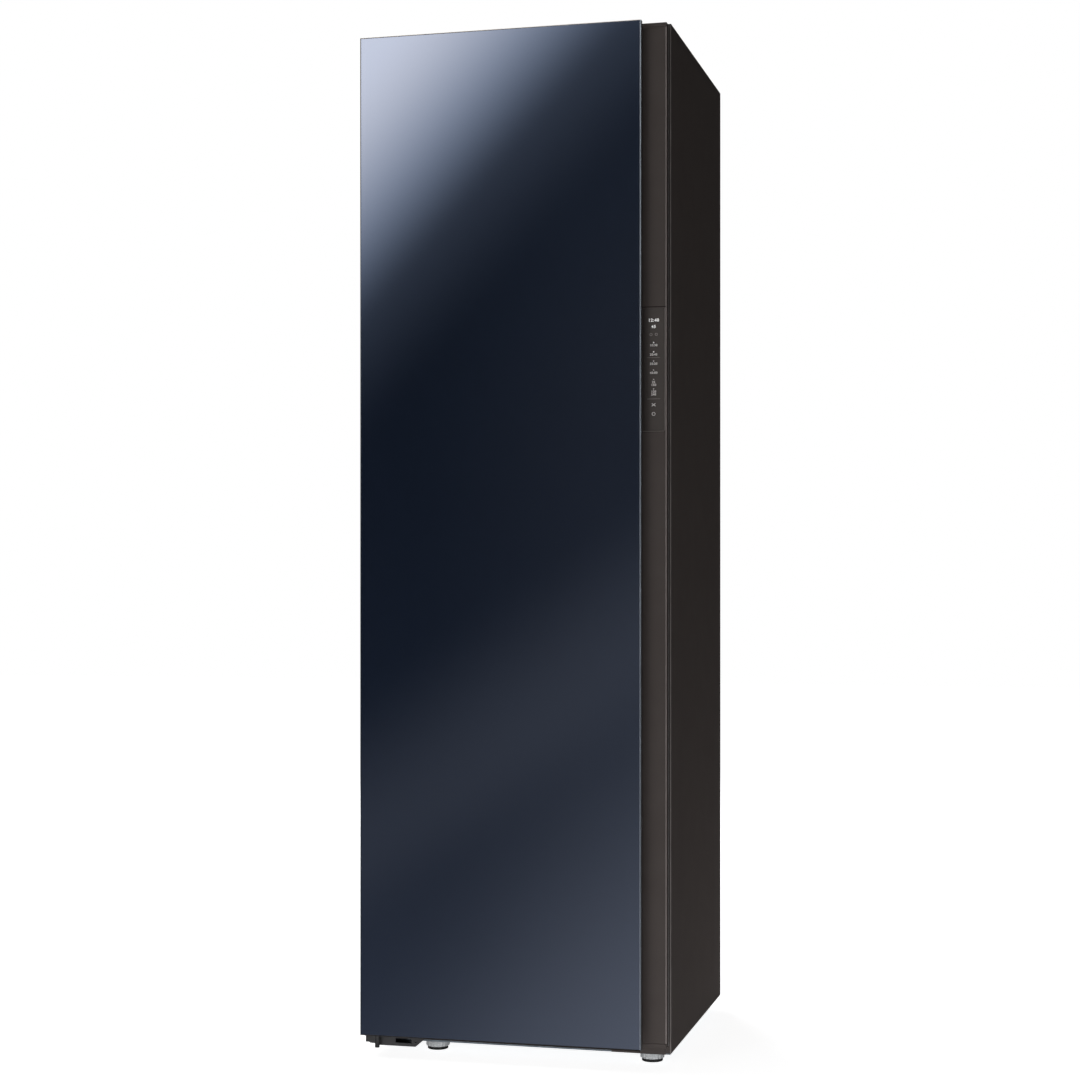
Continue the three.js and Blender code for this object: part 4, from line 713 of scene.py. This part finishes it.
pale_ink = printed("pale_grey_screen_ink", 0xe2dedc)
faint_ink = printed("faint_grey_screen_ink", 0x7e7876)
lit_legend = printed("white_light_guide_legend", 0xececea, 0.3, Emission_Color=linear(0xffffff),
                     Emission_Strength=0.35)


def on_panel(drop, aside=0.0):
    """A place on the panel's face, a drop below its top and aside of its middle line."""
    return (panel_low.x + panel_high.x) / 2 + aside, panel_low.y, panel_high.z - drop


def mark_bar(shape, drop, width, height, aside=0.0):
    """A straight line or bar with softened ends."""
    prism(shape, rounded_outline(width, height, min(width, height) * 0.3, 2), (0, PRINT),
          on_panel(drop, aside), FRONT)


def mark_disc(shape, drop, radius):
    """A filled dot on the middle line."""
    lathe(shape, [(radius, 0), (radius, PRINT)], on_panel(drop), FRONT, 24)


def mark_ring(shape, drop, radius, line, aside=0.0):
    """A ring is a loft that closes on itself: inside, face, outside and back."""
    corners = ((radius, 0), (radius, PRINT), (radius - line, PRINT), (radius - line, 0))
    rings = [[(r * MM * math.cos(a), r * MM * math.sin(a), h * MM) for r, h in reversed(corners)]
             for a in (2 * math.pi * i / 48 for i in range(48))]
    bmesh.ops.transform(shape, matrix=moved_to(on_panel(drop, aside)) @ STOOD_UP,
                        verts=loft(shape, rings, closed=True))


FIGURE_SHARE = 0.69  # height of a figure, as a share of the letter size
THICKENED = 0.035  # how far a figure's outline is widened, as a share of its height
SPACED = 1.15


def mark_number(shape, text, drop, height):
    """A plain number, from Blender's own letter outlines, thickened and spaced a little."""
    curve = bpy.data.curves.new("number", "FONT")
    curve.body = text
    curve.size = height * MM / FIGURE_SHARE
    curve.offset = height * MM * THICKENED
    curve.space_character = SPACED
    curve.align_x = "CENTER"
    curve.align_y = "CENTER"
    curve.extrude = PRINT * MM / 2
    holder = add_object("number", curve)
    mesh = evaluated_mesh(holder)
    mesh.transform(moved_to((0, -PRINT / 2, 0)) @ moved_to(on_panel(drop)) @ STOOD_UP)
    shape.from_mesh(mesh)
    bpy.data.objects.remove(holder)
    bpy.data.meshes.remove(mesh)


def mark_cross(shape, drop, width, height, line):
    """Two bars that cross on the middle line."""
    for way in (-1, 1):
        turn = Matrix.Rotation(way * math.atan2(height, width), 2)
        bar = rounded_outline(math.hypot(width, height), line, 0.3 * line, 2)
        prism(shape, [turn @ Vector(point) for point in bar], (0, PRINT), on_panel(drop), FRONT)

# %% Print the marks
# Distances below the panel's top, in millimetres
READOUT_DROPS = (24.5, 36.5)
SMALL_RINGS_DROP = 51
LIGHT_DROPS = (66, 83.3, 100.5, 117.3, 134.7, 152.5)
DIVIDER_DROPS = (94, 171)
CROSS_DROP = 182
RING_DROP = 199
LABEL_BELOW = 5.2
LABEL_HEIGHT = 3.9
lit_marks = bmesh.new()
mark_number(lit_marks, "12:40", READOUT_DROPS[0], 5.6)
mark_number(lit_marks, "45", READOUT_DROPS[1], 5.4)
for drop in LIGHT_DROPS[:2]:
    mark_disc(lit_marks, drop, 1.2)
piece_from(lit_marks, "panel_lit_marks", lit_legend, "door", even=False)

bright_marks = bmesh.new()
for drop in LIGHT_DROPS[2:]:
    mark_disc(bright_marks, drop, 1.0)
for text, drop in zip(("10:30", "20:45", "35:20", "45:00", "25", "120"), LIGHT_DROPS):
    mark_number(bright_marks, text, drop + LABEL_BELOW, LABEL_HEIGHT)
for text, drop in zip(("150", "240"), LIGHT_DROPS[-2:]):
    mark_number(bright_marks, text, drop + 2 * LABEL_BELOW, LABEL_HEIGHT)
mark_ring(bright_marks, RING_DROP, 3.3, 0.75)
mark_cross(bright_marks, CROSS_DROP, 7.0, 5.4, 1.0)
piece_from(bright_marks, "panel_bright_marks", pale_ink, "door", even=False)

soft_marks = bmesh.new()
for aside in (-5.0, 5.0):
    mark_ring(soft_marks, SMALL_RINGS_DROP, 2.6, 0.8, aside)
for drop in DIVIDER_DROPS:
    mark_bar(soft_marks, drop, 24, 0.5)
piece_from(soft_marks, "panel_soft_marks", faint_ink, "door", even=False)
print("marks printed on the panel's face at y", round(panel_low.y, 2), "mm")

# %% [markdown]
# ## Lines round the panel and along the free edges
#
# Some edges are finer than a picture at this distance can hold, yet they show as lines of light and shade.
# Each one gets a very thin bar in that tone: painted shade for a dark line, a painted highlight for a light
# one.

# %% Shade, lip and edge lines
# The gap round the panel is 0.3 mm, too fine for a picture at this distance, so dark lines show its
# upper and left shadow, and light ones the lip that it leaves lit to the right and below.
SHADE_TOP = 1.2
SHADE_LEFT = 1.6
SHADE_FOOT = 0.8
LIP = 1.2
LIP_SHORT = 3.0
panel_width = panel_high.x - panel_low.x
panel_height = panel_high.z - panel_low.z
shade_lines = bmesh.new()
mark_bar(shade_lines, -SHADE_TOP / 2, panel_width + 2 * SHADE_LEFT, SHADE_TOP)
mark_bar(shade_lines, panel_height / 2, SHADE_LEFT, panel_height + 2 * SHADE_LEFT,
         -panel_width / 2 - SHADE_LEFT / 2)
mark_bar(shade_lines, panel_height + SHADE_FOOT / 2, panel_width, SHADE_FOOT)
piece_from(shade_lines, "panel_shade_lines", shadow_line, "door", even=False)
lip_lines = bmesh.new()
mark_bar(lip_lines, panel_height - LIP / 2, panel_width - LIP_SHORT, LIP)
mark_bar(lip_lines, panel_height / 2, LIP, panel_height - LIP_SHORT, panel_width / 2 - LIP / 2)
piece_from(lip_lines, "panel_lip_lines", lip_edge, "door", even=False)

# The pale lines along the strip's outer edge and the glass's free edge are painted highlights: the light that
# these edges catch, laid as a thin bar on each front face.
EDGE_LINE = 0.05  # thickness of these lines
EDGE_INSET = 0.1
for node_name, name, finish, face_y, width, short in (
        ("door_grip_strip", "strip_worn_edge", strip_edge_highlight_paint, panel_low.y, 1.7, 1.0),
        ("door_glass", "glass_bare_edge", glass_edge_highlight_paint, box_mm("door_glass")[0].y, 1.3, 1.2)):
    edge_low, edge_high = box_mm(node_name)
    outline = rounded_outline(width, edge_high.z - edge_low.z - short, 0.4, 2)
    pressed(name, finish, "door", outline, (0, EDGE_LINE),
            (edge_high.x - EDGE_INSET - width / 2, face_y, (edge_low.z + edge_high.z) / 2), FRONT)
print("thin lines round the panel and along two edges")

# %% [markdown]
# ## Screws
#
# The back's sheets are held by hexagon washer-head screws. They repeat, so Geometry Nodes place them:
# one head is modelled, and a small tree puts a copy on each point, turns it to face outwards and
# spins it by a fixed random seed, as no fitter lines them up. Placing each one by hand in code would
# work too, but the tree keeps size and seed as inputs.

# %% Tree that copies a pattern
def build_copies_tree():
    """Copies a pattern to each point, facing outwards and spun at random, and gives it its finish."""
    tree = bpy.data.node_groups.new("copies_on_points", "GeometryNodeTree")
    for label, kind in (("Geometry", "Geometry"), ("Pattern", "Object"), ("Size", "Float"),
                        ("Most spin", "Float"), ("Seed", "Int"), ("Finish", "Material")):
        tree.interface.new_socket(label, in_out="INPUT", socket_type="NodeSocket" + kind)
    tree.interface.new_socket("Geometry", in_out="OUTPUT", socket_type="NodeSocketGeometry")
    given = add_node(tree, "NodeGroupInput")
    facing = add_node(tree, "GeometryNodeInputNamedAttribute", {"data_type": "FLOAT_VECTOR"}, {
        "Name": "facing"})
    aligned = add_node(tree, "FunctionNodeAlignRotationToVector", {"axis": "Z"}, {
        "Vector": facing.outputs[0]})
    spin = add_node(tree, "FunctionNodeRandomValue", {"data_type": "FLOAT"}, {
        2: 0.0, 3: given.outputs["Most spin"], "Seed": given.outputs["Seed"]})
    euler = add_node(tree, "ShaderNodeCombineXYZ", inputs={"Z": spin.outputs[1]})
    own_turn = add_node(tree, "FunctionNodeEulerToRotation", inputs={0: euler.outputs[0]})
    turn = add_node(tree, "FunctionNodeRotateRotation", {"rotation_space": "LOCAL"}, {
        "Rotation": aligned.outputs[0], "Rotate By": own_turn.outputs[0]})
    pattern = add_node(tree, "GeometryNodeObjectInfo", inputs={"Object": given.outputs["Pattern"]})
    copies = add_node(tree, "GeometryNodeInstanceOnPoints", inputs={
        "Points": given.outputs["Geometry"], "Instance": pattern.outputs["Geometry"],
        "Rotation": turn.outputs[0], "Scale": given.outputs["Size"]})
    real = add_node(tree, "GeometryNodeRealizeInstances", inputs={"Geometry": copies.outputs[0]})
    painted = add_node(tree, "GeometryNodeSetMaterial", inputs={
        "Geometry": real.outputs[0], "Material": given.outputs["Finish"]})
    add_node(tree, "NodeGroupOutput", inputs={"Geometry": painted.outputs[0]})
    return tree


copies_tree = build_copies_tree()


def copied(pattern, name, finish, points, facing=UP, size=1.0, most_spin=0.0, seed=0):
    """Copies of a pattern on points given in millimetres, as one bmesh."""
    pattern_object = add_object(name, mesh_of(pattern, name))
    start = bpy.data.meshes.new(name + "_points")
    start.from_pydata([Vector(point) * MM for point in points], [], [])
    for row in start.attributes.new("facing", "FLOAT_VECTOR", "POINT").data:
        row.vector = facing
    holder = add_object(name + "_copies", start)
    modifier = holder.modifiers.new("copies", "NODES")
    modifier.node_group = copies_tree
    values = {"Pattern": pattern_object, "Size": size, "Most spin": most_spin, "Seed": seed, "Finish": finish}
    for item in copies_tree.interface.items_tree:
        if item.name in values:
            modifier[item.identifier] = values[item.name]
    shape = bmesh.new()
    shape.from_mesh(evaluated_mesh(holder))
    bpy.data.objects.remove(holder)
    bpy.data.objects.remove(pattern_object)
    return shape


print("copies tree has", len(copies_tree.nodes), "nodes")

# %% Hexagon washer-head screws on the back
HEAD_RADIUS = 4.2
HEX_UNTIL = 690.0  # the head is drawn with a radius of 1000 and scaled by the tree
FULL_TURN = 2 * math.pi
SPIN_SEED = 7


def hexagon(angle, radius):
    """Radius of a hexagon at an angle, for the head's rings; the washer's rings stay round."""
    if radius > HEX_UNTIL:
        return radius
    return radius * math.cos(math.pi / 6) / math.cos((angle % (math.pi / 3)) - math.pi / 6)


screw_shape = bmesh.new()
lathe(screw_shape, [(1000, 0), (1000, 90), (930, 130), (690, 140), (690, 300), (620, 345), (420, 345),
                    (330, 290)], (0, 0, 0), UP, 24, hexagon)

SIDE_ROW = 292.0  # the screws go through the side sheets' folded edges
SIDE_HEIGHTS = (52, 225, 400, 450, 810, 1185, 1560, 1930)
CROSS_ROW = (-210, -70, 70, 210)
CROSS_HEIGHTS = (412, 1945)
back_y = box_mm("back_panel")[1].y
screw_points = [(x, back_y, z) for x in (-SIDE_ROW, SIDE_ROW) for z in SIDE_HEIGHTS]
screw_points += [(x, back_y, z) for x in CROSS_ROW for z in CROSS_HEIGHTS]
screws = copied(screw_shape, "hexagon_screw", dulled_zinc, screw_points, BACK, HEAD_RADIUS * MM, FULL_TURN,
                SPIN_SEED)
piece_from(screws, "back_screws", dulled_zinc, "cabinet")
print(len(screw_points), "screws on the back")

# %% [markdown]
# ## Tank caps and gauges
#
# Each water tank has a screw cap that wet fingers can turn, so its rim is fluted, and three raised
# level lines beside the finger pull. The cap sits over the plain solid's cap as a thin shell.

# %% Caps and level lines
CAP_RADIUS = 19.4
CAP_FLUTES = 24
CAP_FLUTE = 0.45
CAP_HEIGHT = 8.0
LEVEL_SHARES = (0.25, 0.5, 0.75)
LEVEL_ASIDE = 34.0  # middle of the level lines, from the tank's left side
LEVEL_LENGTH = 22.0
LEVEL_WIDTH = 1.2
LEVEL_RAISED = 0.4


def cap_flutes(angle, radius):
    """Only the rim of the cap is fluted."""
    return radius + (CAP_FLUTE * math.cos(CAP_FLUTES * angle) if radius == CAP_RADIUS else 0)


for node_name in ("supply_tank", "drain_tank"):
    tank_low, tank_high = box_mm(node_name)
    tank_middle = (tank_low + tank_high) / 2
    turned(node_name + "_cap", "black_plastic", body_of[node_name],
           [(18.0, -7.9), (CAP_RADIUS, -7.6), (CAP_RADIUS, -1.2), (18.6, 0.1), (9.0, 0.25), (8.2, 0.1)],
           (tank_middle.x, tank_middle.y, tank_high.z), UP, 144, cap_flutes)
    levels = bmesh.new()
    for share in LEVEL_SHARES:
        level_z = tank_low.z + share * (tank_high.z - CAP_HEIGHT - tank_low.z)
        prism(levels, rounded_outline(LEVEL_LENGTH, LEVEL_WIDTH, 0.4, 2), (0, LEVEL_RAISED),
              (tank_low.x + LEVEL_ASIDE, tank_low.y, level_z), FRONT)
    piece_from(levels, node_name + "_levels", "black_plastic", body_of[node_name], even=False)
print("two tanks given caps and level lines")

# %% [markdown]
# ## Chamber lamp
#
# When the door opens, a strip of light behind the ceiling's lens shows the rail and the hangers. The
# lit part is a thin plate under the lens. With the door shut nothing of its light gets out.

# %% Lit window of the lamp
lamp_light = moulded_plastic("lit_opal_polycarbonate", 0xf0f0ee, 0xf6f6f4, 0.5, 1.2, 0.02,
                             Emission_Color=linear(0xfff8ee), Emission_Strength=24.0)
LENS_BORDER = 7.0
WINDOW = 0.2  # thickness of the lit plate
lens_low, lens_high = box_mm("lamp_lens")
lens_width, lens_depth, _ = lens_high - lens_low
pressed("lamp_lens_window", lamp_light, "cabinet",
        rounded_outline(lens_width - 2 * LENS_BORDER, lens_depth - 2 * LENS_BORDER, 2.0, 3), (0, WINDOW),
        ((lens_low.x + lens_high.x) / 2, (lens_low.y + lens_high.y) / 2, lens_low.z), DOWN)
print("lamp window at z", round(lens_low.z, 1), "mm")

# %% [markdown]
# ## Rows of alike parts
#
# Gauze, fins and return bends are one thing repeated at a fixed pitch. The same tree lays them, on
# points in a row and without the spin, so a finer gauze or a longer coil is one number.

# %% Row helpers
def box_outline(width, height):
    """Anticlockwise outline of a rectangle about its middle."""
    return [(a * width / 2, b * height / 2) for a, b in ((-1, -1), (1, -1), (1, 1), (-1, 1))]


def row_of(pattern, name, count, start, step, finish):
    """Lays copies of a pattern in a row. Start and step are in millimetres."""
    return copied(pattern, name, finish, [Vector(start) + Vector(step) * i for i in range(count)])


def joined(*shapes):
    """One bmesh from several."""
    whole = bmesh.new()
    for shape in shapes:
        mesh = mesh_of(shape, "joined")
        whole.from_mesh(mesh)
        bpy.data.meshes.remove(mesh)
    return whole


# %% Gauze of the lint filter
GAUZE_PITCH = 2.0
GAUZE_BORDER = 9.0
GAUZE_DROP = 17.0  # below the filter's top
STRAND = 0.35
filter_low, filter_high = box_mm("lint_filter")
gauze_width, gauze_depth = (high - low - 2 * GAUZE_BORDER for low, high in zip(filter_low.xy, filter_high.xy))
gauze_left, gauze_front = filter_low.x + GAUZE_BORDER, filter_low.y + GAUZE_BORDER
gauze_height = filter_high.z - GAUZE_DROP
strands = []
for way, width, depth, low, high, count, start, step in (
        ("across", STRAND, gauze_depth, -STRAND / 2, STRAND / 2, round(gauze_width / GAUZE_PITCH),
         (gauze_left + GAUZE_PITCH / 2, gauze_front + gauze_depth / 2), (GAUZE_PITCH, 0, 0)),
        ("along", gauze_width, STRAND, STRAND / 2, STRAND * 1.5, round(gauze_depth / GAUZE_PITCH),
         (gauze_left + gauze_width / 2, gauze_front + GAUZE_PITCH / 2), (0, GAUZE_PITCH, 0))):
    strand = bmesh.new()
    prism(strand, box_outline(width, depth), (low, high))
    strands.append(row_of(strand, "gauze_strand_" + way, count, (*start, gauze_height), step,
                          finish_of["white_plastic"]))
    print(count, "gauze strands", way)
piece_from(joined(*strands), "filter_gauze", "white_plastic", "filter", even=False)

# %% Fins, tubes and return bends of the coil
FIN_PITCH = 2.6
FIN = 0.3
FIN_INSET = 2.0  # the fins stop this far inside the block, all round
BEND_RADIUS = 10.5
BEND_ROWS = 3
TUBE_RADIUS = 3.4
TUBE_ASIDE = 14.0  # the two rows of tubes, from the block's middle
FIRST_BEND = 22.0  # above the fins' foot
TUBE_SIDES = 12
TRAY_HEIGHT = 16.0
BEND_ROOM = BEND_RADIUS + TUBE_RADIUS
coil_low, coil_high = box_mm("coil_pack")
fin_top = coil_high.z - 1
fin_low = coil_low.z + TRAY_HEIGHT / 2
fin_middle = Vector(((coil_low.x + coil_high.x) / 2, (coil_low.y + coil_high.y) / 2, (fin_low + fin_top) / 2))
fin_count = int((coil_high.x - coil_low.x - 2 * BEND_ROOM - 2 * FIN_INSET) / FIN_PITCH)
fin = bmesh.new()
prism(fin, box_outline(FIN, coil_high.y - coil_low.y - 2 * FIN_INSET),
      (fin_low - fin_middle.z, fin_top - fin_middle.z))
fins = row_of(fin, "coil_fin", fin_count, (coil_low.x + BEND_ROOM + FIN_INSET, fin_middle.y, fin_middle.z),
              (FIN_PITCH, 0, 0), finish_of["fin_aluminium"])
piece_from(fins, "coil_fins", "fin_aluminium", "cabinet", ["coil_pack"], even=False)


def bend(away):
    """Half a turn of tube between two levels, leaving the end plate towards away."""
    shape = bmesh.new()
    rings = []
    for step in range(TUBE_SIDES + 1):
        turn = math.pi * (step / TUBE_SIDES - 0.5)
        out = Vector((away * math.cos(turn), 0, math.sin(turn)))
        angles = (2 * math.pi * side / TUBE_SIDES for side in range(TUBE_SIDES))
        rings.append([(out * (BEND_RADIUS + TUBE_RADIUS * math.cos(a))
                       + Vector((0, TUBE_RADIUS * math.sin(a), 0))) * MM for a in angles])
    loft(shape, rings)
    bmesh.ops.recalc_face_normals(shape, faces=shape.faces)
    return shape


def straight_tube():
    """A tube through all the fins, about its middle."""
    shape = bmesh.new()
    reach = fin_count * FIN_PITCH / 2 + 1
    lathe(shape, [(TUBE_RADIUS, -reach), (TUBE_RADIUS, reach)], (0, 0, 0), RIGHT, TUBE_SIDES)
    return shape


copper = brushed_metal("bright_annealed_copper", 0xb0663c, 0xc27a4e, 0.3, (1, 1, 1))
bend_step = (0, 0, 4 * BEND_RADIUS)
bend_height = fin_low + FIRST_BEND
tubes = []
for y in (fin_middle.y - TUBE_ASIDE, fin_middle.y + TUBE_ASIDE):
    for away, x in ((-1, coil_low.x + BEND_ROOM), (1, coil_high.x - BEND_ROOM)):
        tubes.append(row_of(bend(away), "return_bend", BEND_ROWS, (x, y, bend_height), bend_step, copper))
    for rise in (-BEND_RADIUS, BEND_RADIUS):
        tubes.append(row_of(straight_tube(), "coil_tube", BEND_ROWS, (fin_middle.x, y, bend_height + rise),
                            bend_step, copper))
piece_from(joined(*tubes), "coil_tubes", copper, "cabinet", ["coil_pack"])

tray = bmesh.new()
rim, lip = (rounded_outline(coil_high.x - coil_low.x - inset, coil_high.y - coil_low.y - inset, corner)
            for inset, corner in ((0, 5), (3, 4)))
loft(tray, [[Vector((fin_middle.x + a, fin_middle.y + b, coil_low.z + height)) * MM for a, b in outline]
            for outline, height in ((rim, 0), (rim, TRAY_HEIGHT), (lip, TRAY_HEIGHT), (lip, 3))])
piece_from(tray, "coil_tray", "black_plastic", "cabinet", ["coil_pack"])
print(fin_count, "fins,", 4 * BEND_ROWS, "return bends")

# %% [markdown]
# ## Compressor
#
# A hermetic compressor is two drawn cups welded round the middle, bolted to a plate through rubber
# grommets, with a copper discharge stub. The weld bead and the grommets are what make it look real.

# %% Turned compressor
PLATE_HALF = 70.0
PLATE_LOW = 9.0
PLATE = 3.0
PLATE_TOP = PLATE_LOW + PLATE
BOLT_INSET = 12.0
STUB_DROP = 32.0  # below the can's top
shell_low, shell_high = box_mm("compressor")
can_middle = Vector((shell_low.x + PLATE_HALF, (shell_low.y + shell_high.y) / 2, shell_low.z))
can_height = shell_high.z - shell_low.z
stub_reach = shell_high.x - can_middle.x
turned("compressor_can", "compressor_paint", "cabinet", [
    (50, PLATE_TOP), (57, PLATE_TOP + 1), (61, 20), (62, 28), (62, 97), (62.6, 99), (64.6, 100.5),
    (64.9, 102.5), (64.6, 104.5), (62.6, 106), (61.6, 107), (61.6, can_height - 30),
    (59.5, can_height - 20), (53, can_height - 11), (40, can_height - 4.5), (22, can_height - 0.8),
    (6, can_height)], can_middle, UP, 64, stands_for=["compressor"])
plate = bmesh.new()
prism(plate, rounded_outline(2 * PLATE_HALF, 2 * PLATE_HALF, 12), (PLATE_LOW, PLATE_TOP), can_middle)
round_edges(plate, 0.6)
piece_from(plate, "compressor_plate", "galvanised_steel", "cabinet", ["compressor"])
grommets = bmesh.new()
for way_x in (-1, 1):
    for way_y in (-1, 1):
        place = can_middle + Vector((way_x, way_y, 0)) * (PLATE_HALF - BOLT_INSET)
        lathe(grommets, [(8.6, 0), (9.6, 0.8), (9.6, 3.4), (7.6, 4.2), (7.6, 5.2), (9.6, 6.0), (9.6, 8.2),
                         (9.0, 8.8)], place)
        lathe(grommets, [(8.2, PLATE_TOP + 0.1), (8.2, 14.4), (7.4, 15.0), (3.0, 15.0)], place)
piece_from(grommets, "compressor_grommets", "rubber", "cabinet", ["compressor"])
turned("compressor_stub", copper, "cabinet", [
    (5.6, 58), (5.6, stub_reach - 1), (5.2, stub_reach), (4.2, stub_reach), (4.2, stub_reach - 6)],
    can_middle + Vector((0, 0, can_height - STUB_DROP)), RIGHT, 24, stands_for=["compressor"])
print("compressor turned about", [round(v, 1) for v in can_middle])

# %% [markdown]
# ## Cable gland
#
# The lead enters through a rubber gland in the lower back cover. Its mouth is closed by a thin
# membrane. It is a lathe shape that sits in the cover's shallow recess.

# %% Gland
GLAND_IN = 70.0  # from the cabinet's right side
GLAND_UP = 110.0
cover_high = box_mm("rear_service_cover")[1]
turned("cable_gland", "rubber", "cabinet", [
    (4.6, -1.3), (12.6, 0.02), (13.4, 0.5), (13.4, 1.0), (12.2, 1.9), (7.4, 2.2), (6.4, 1.9), (5.6, 0.2),
    (4.4, -0.9), (1.6, -0.9), (1.2, -0.5)], (cover_high.x - GLAND_IN, cover_high.y, GLAND_UP), BACK, 40)
print("gland at x", round(cover_high.x - GLAND_IN, 1))

# %% [markdown]
# ## Door's lower edge and the hinge's cover
#
# Two small mouldings close what the plain solids leave open. A dark drip edge is clipped under the
# glass, and a cover fills the space between the lower hinge's posts and its pin. The drip edge stops
# short of the hinge, because the door's corner sweeps closely over the bracket's arm.

# %% Drip edge and pivot cover
DRIP_LEFT = -170.0
DRIP_DROP = 1.5  # below the glass, in millimetres
DRIP_DEPTHS = (1.8, 0.2)  # behind the front of the trim
PIVOT_DEPTH = 22.0  # the pin's middle behind the glass
COVER_HALF = 3.0
COVER_OUTLINE = ((4.0, -26.0), (9.0, -27.0), (14.0, -28.5), (26.0, -28.5), (27.5, -27.0), (27.5, -14.0),
                 (4.0, -14.0))  # from the bracket's upper left corner
glass_low, glass_high = box_mm("door_glass")
trim_low = box_mm("door_trim_bottom")[0]
pressed("door_drip_edge", "dark_trim", "door", [
    (DRIP_LEFT, trim_low.z - DRIP_DROP), (glass_high.x, trim_low.z - DRIP_DROP),
    (glass_high.x, trim_low.z), (DRIP_LEFT, trim_low.z)],
    [-(trim_low.y + depth) for depth in DRIP_DEPTHS], facing=FRONT)

bracket_low, bracket_high = box_mm("hinge_bracket_lower")
pivot_y = glass_low.y + PIVOT_DEPTH
pressed("pivot_cover", "black_plastic", "cabinet",
        [(bracket_low.x + a, bracket_high.z + b) for a, b in COVER_OUTLINE],
        (-pivot_y - COVER_HALF, -pivot_y + COVER_HALF), facing=FRONT)
print("drip edge and pivot cover in place")

# %% [markdown]
# ## Levelling feet
#
# Each foot is a zinc-plated wheel with shallow finger flutes, a plain neck and a rubber pad that
# grips the floor. A lathe with a radius that swells and sinks round the edge gives flutes that are
# round, where the plain solid has only corners.

# %% Fluted wheels and rubber pads
FLUTES = 20
FLUTE_DEPTH = 0.7
FLUTED_FROM = 21.0  # radius from which the wheel is fluted
SOLE_TOP = 5.2  # the rubber sole carries a pale disc
# Passivated zinc has a milky film, so it is paler and less mirror-like than the bare metal.
foot_zinc = crystal_metal("passivated_zinc_plating", 0xa6a8aa, 0xbcbec0, 2.5, 0.4, 0.4)


def fluted(angle, radius):
    """Shallow hollows round the rim of the wheel."""
    hollow = FLUTE_DEPTH * (0.5 - 0.5 * math.cos(FLUTES * angle))
    return radius - (hollow if radius > FLUTED_FROM else 0)


for corner in ("front_left", "front_right", "rear_left", "rear_right"):
    foot, pad = "foot_" + corner, "foot_pad_" + corner
    foot_low, foot_high = box_mm(foot)
    rim_radius = (foot_high.y - foot_low.y) / 2
    disc_top = box_mm(pad)[1].z
    axis_at = ((foot_low.x + foot_high.x) / 2, (foot_low.y + foot_high.y) / 2, 0)
    turned(foot + "_wheel", foot_zinc, body_of[foot], [
        (21.4, foot_low.z), (22.5, foot_low.z + 0.5), (rim_radius, 7.6), (rim_radius, 15.6), (22.4, 16.8),
        (21.2, 17.4), (12.0, 17.6), (8.6, 18.4), (8.6, 22.2), (5.0, 22.2), (5.0, foot_high.z - 0.8),
        (4.2, foot_high.z)], axis_at, UP, 160, fluted, [foot])
    turned(foot + "_sole", "rubber", body_of[pad], [
        (18.9, 0), (19.9, 0.6), (20.0, 1.5), (19.6, 1.8), (19.6, 2.1), (20.0, 2.4), (20.0, 4.4),
        (19.3, SOLE_TOP)], axis_at, UP, 64, stands_for=[pad])
    turned(foot + "_disc", foot_zinc, body_of[pad], [
        (18.9, SOLE_TOP), (18.9, disc_top - 0.15), (18.5, disc_top)], axis_at, UP, 64, stands_for=[pad])
print("four feet turned")

# %% [markdown]
# ## Door seal
#
# The magnetic seal is one extruded elastomer profile, welded at the corners: a base that snaps into
# the door's liner, a folded bellows and a flat head with the magnet strip. The profile is carried
# round the door's rectangle and mitred at each corner, so it stays one closed skin.

# %% Seal with its bellows
SEAL_HALF = ((4, 0), (4, 1.0), (2.6, 2.2), (1.4, 2.6), (2.8, 3.3), (2.8, 3.8), (1.4, 4.5), (2.4, 5.1),
             (5.2, 5.3), (6, 5.9), (6, 7.4), (5.4, 8.1))
SEAL_PROFILE = [(-4, 0), *SEAL_HALF, *((-out, depth) for out, depth in reversed(SEAL_HALF[1:]))]
HEAD_HALF = 6.0
SEAL_DEPTH = 8.1
seal_low, seal_high = box_mm("door_gasket")
depth_share = (seal_high.y - seal_low.y) / SEAL_DEPTH
seal_rings = []
for way_x, way_z in ((-1, -1), (-1, 1), (1, 1), (1, -1)):
    corner_x = (seal_low if way_x < 0 else seal_high).x - way_x * HEAD_HALF
    corner_z = (seal_low if way_z < 0 else seal_high).z - way_z * HEAD_HALF
    seal_rings.append([Vector((corner_x + way_x * out, seal_low.y + depth * depth_share,
                               corner_z + way_z * out)) * MM for out, depth in SEAL_PROFILE])
seal = bmesh.new()
loft(seal, seal_rings, closed=True)
bmesh.ops.recalc_face_normals(seal, faces=seal.faces)
piece_from(seal, "door_seal_bellows", "rubber", "door", ["door_gasket"])
print("seal", len(SEAL_PROFILE), "points round its profile")
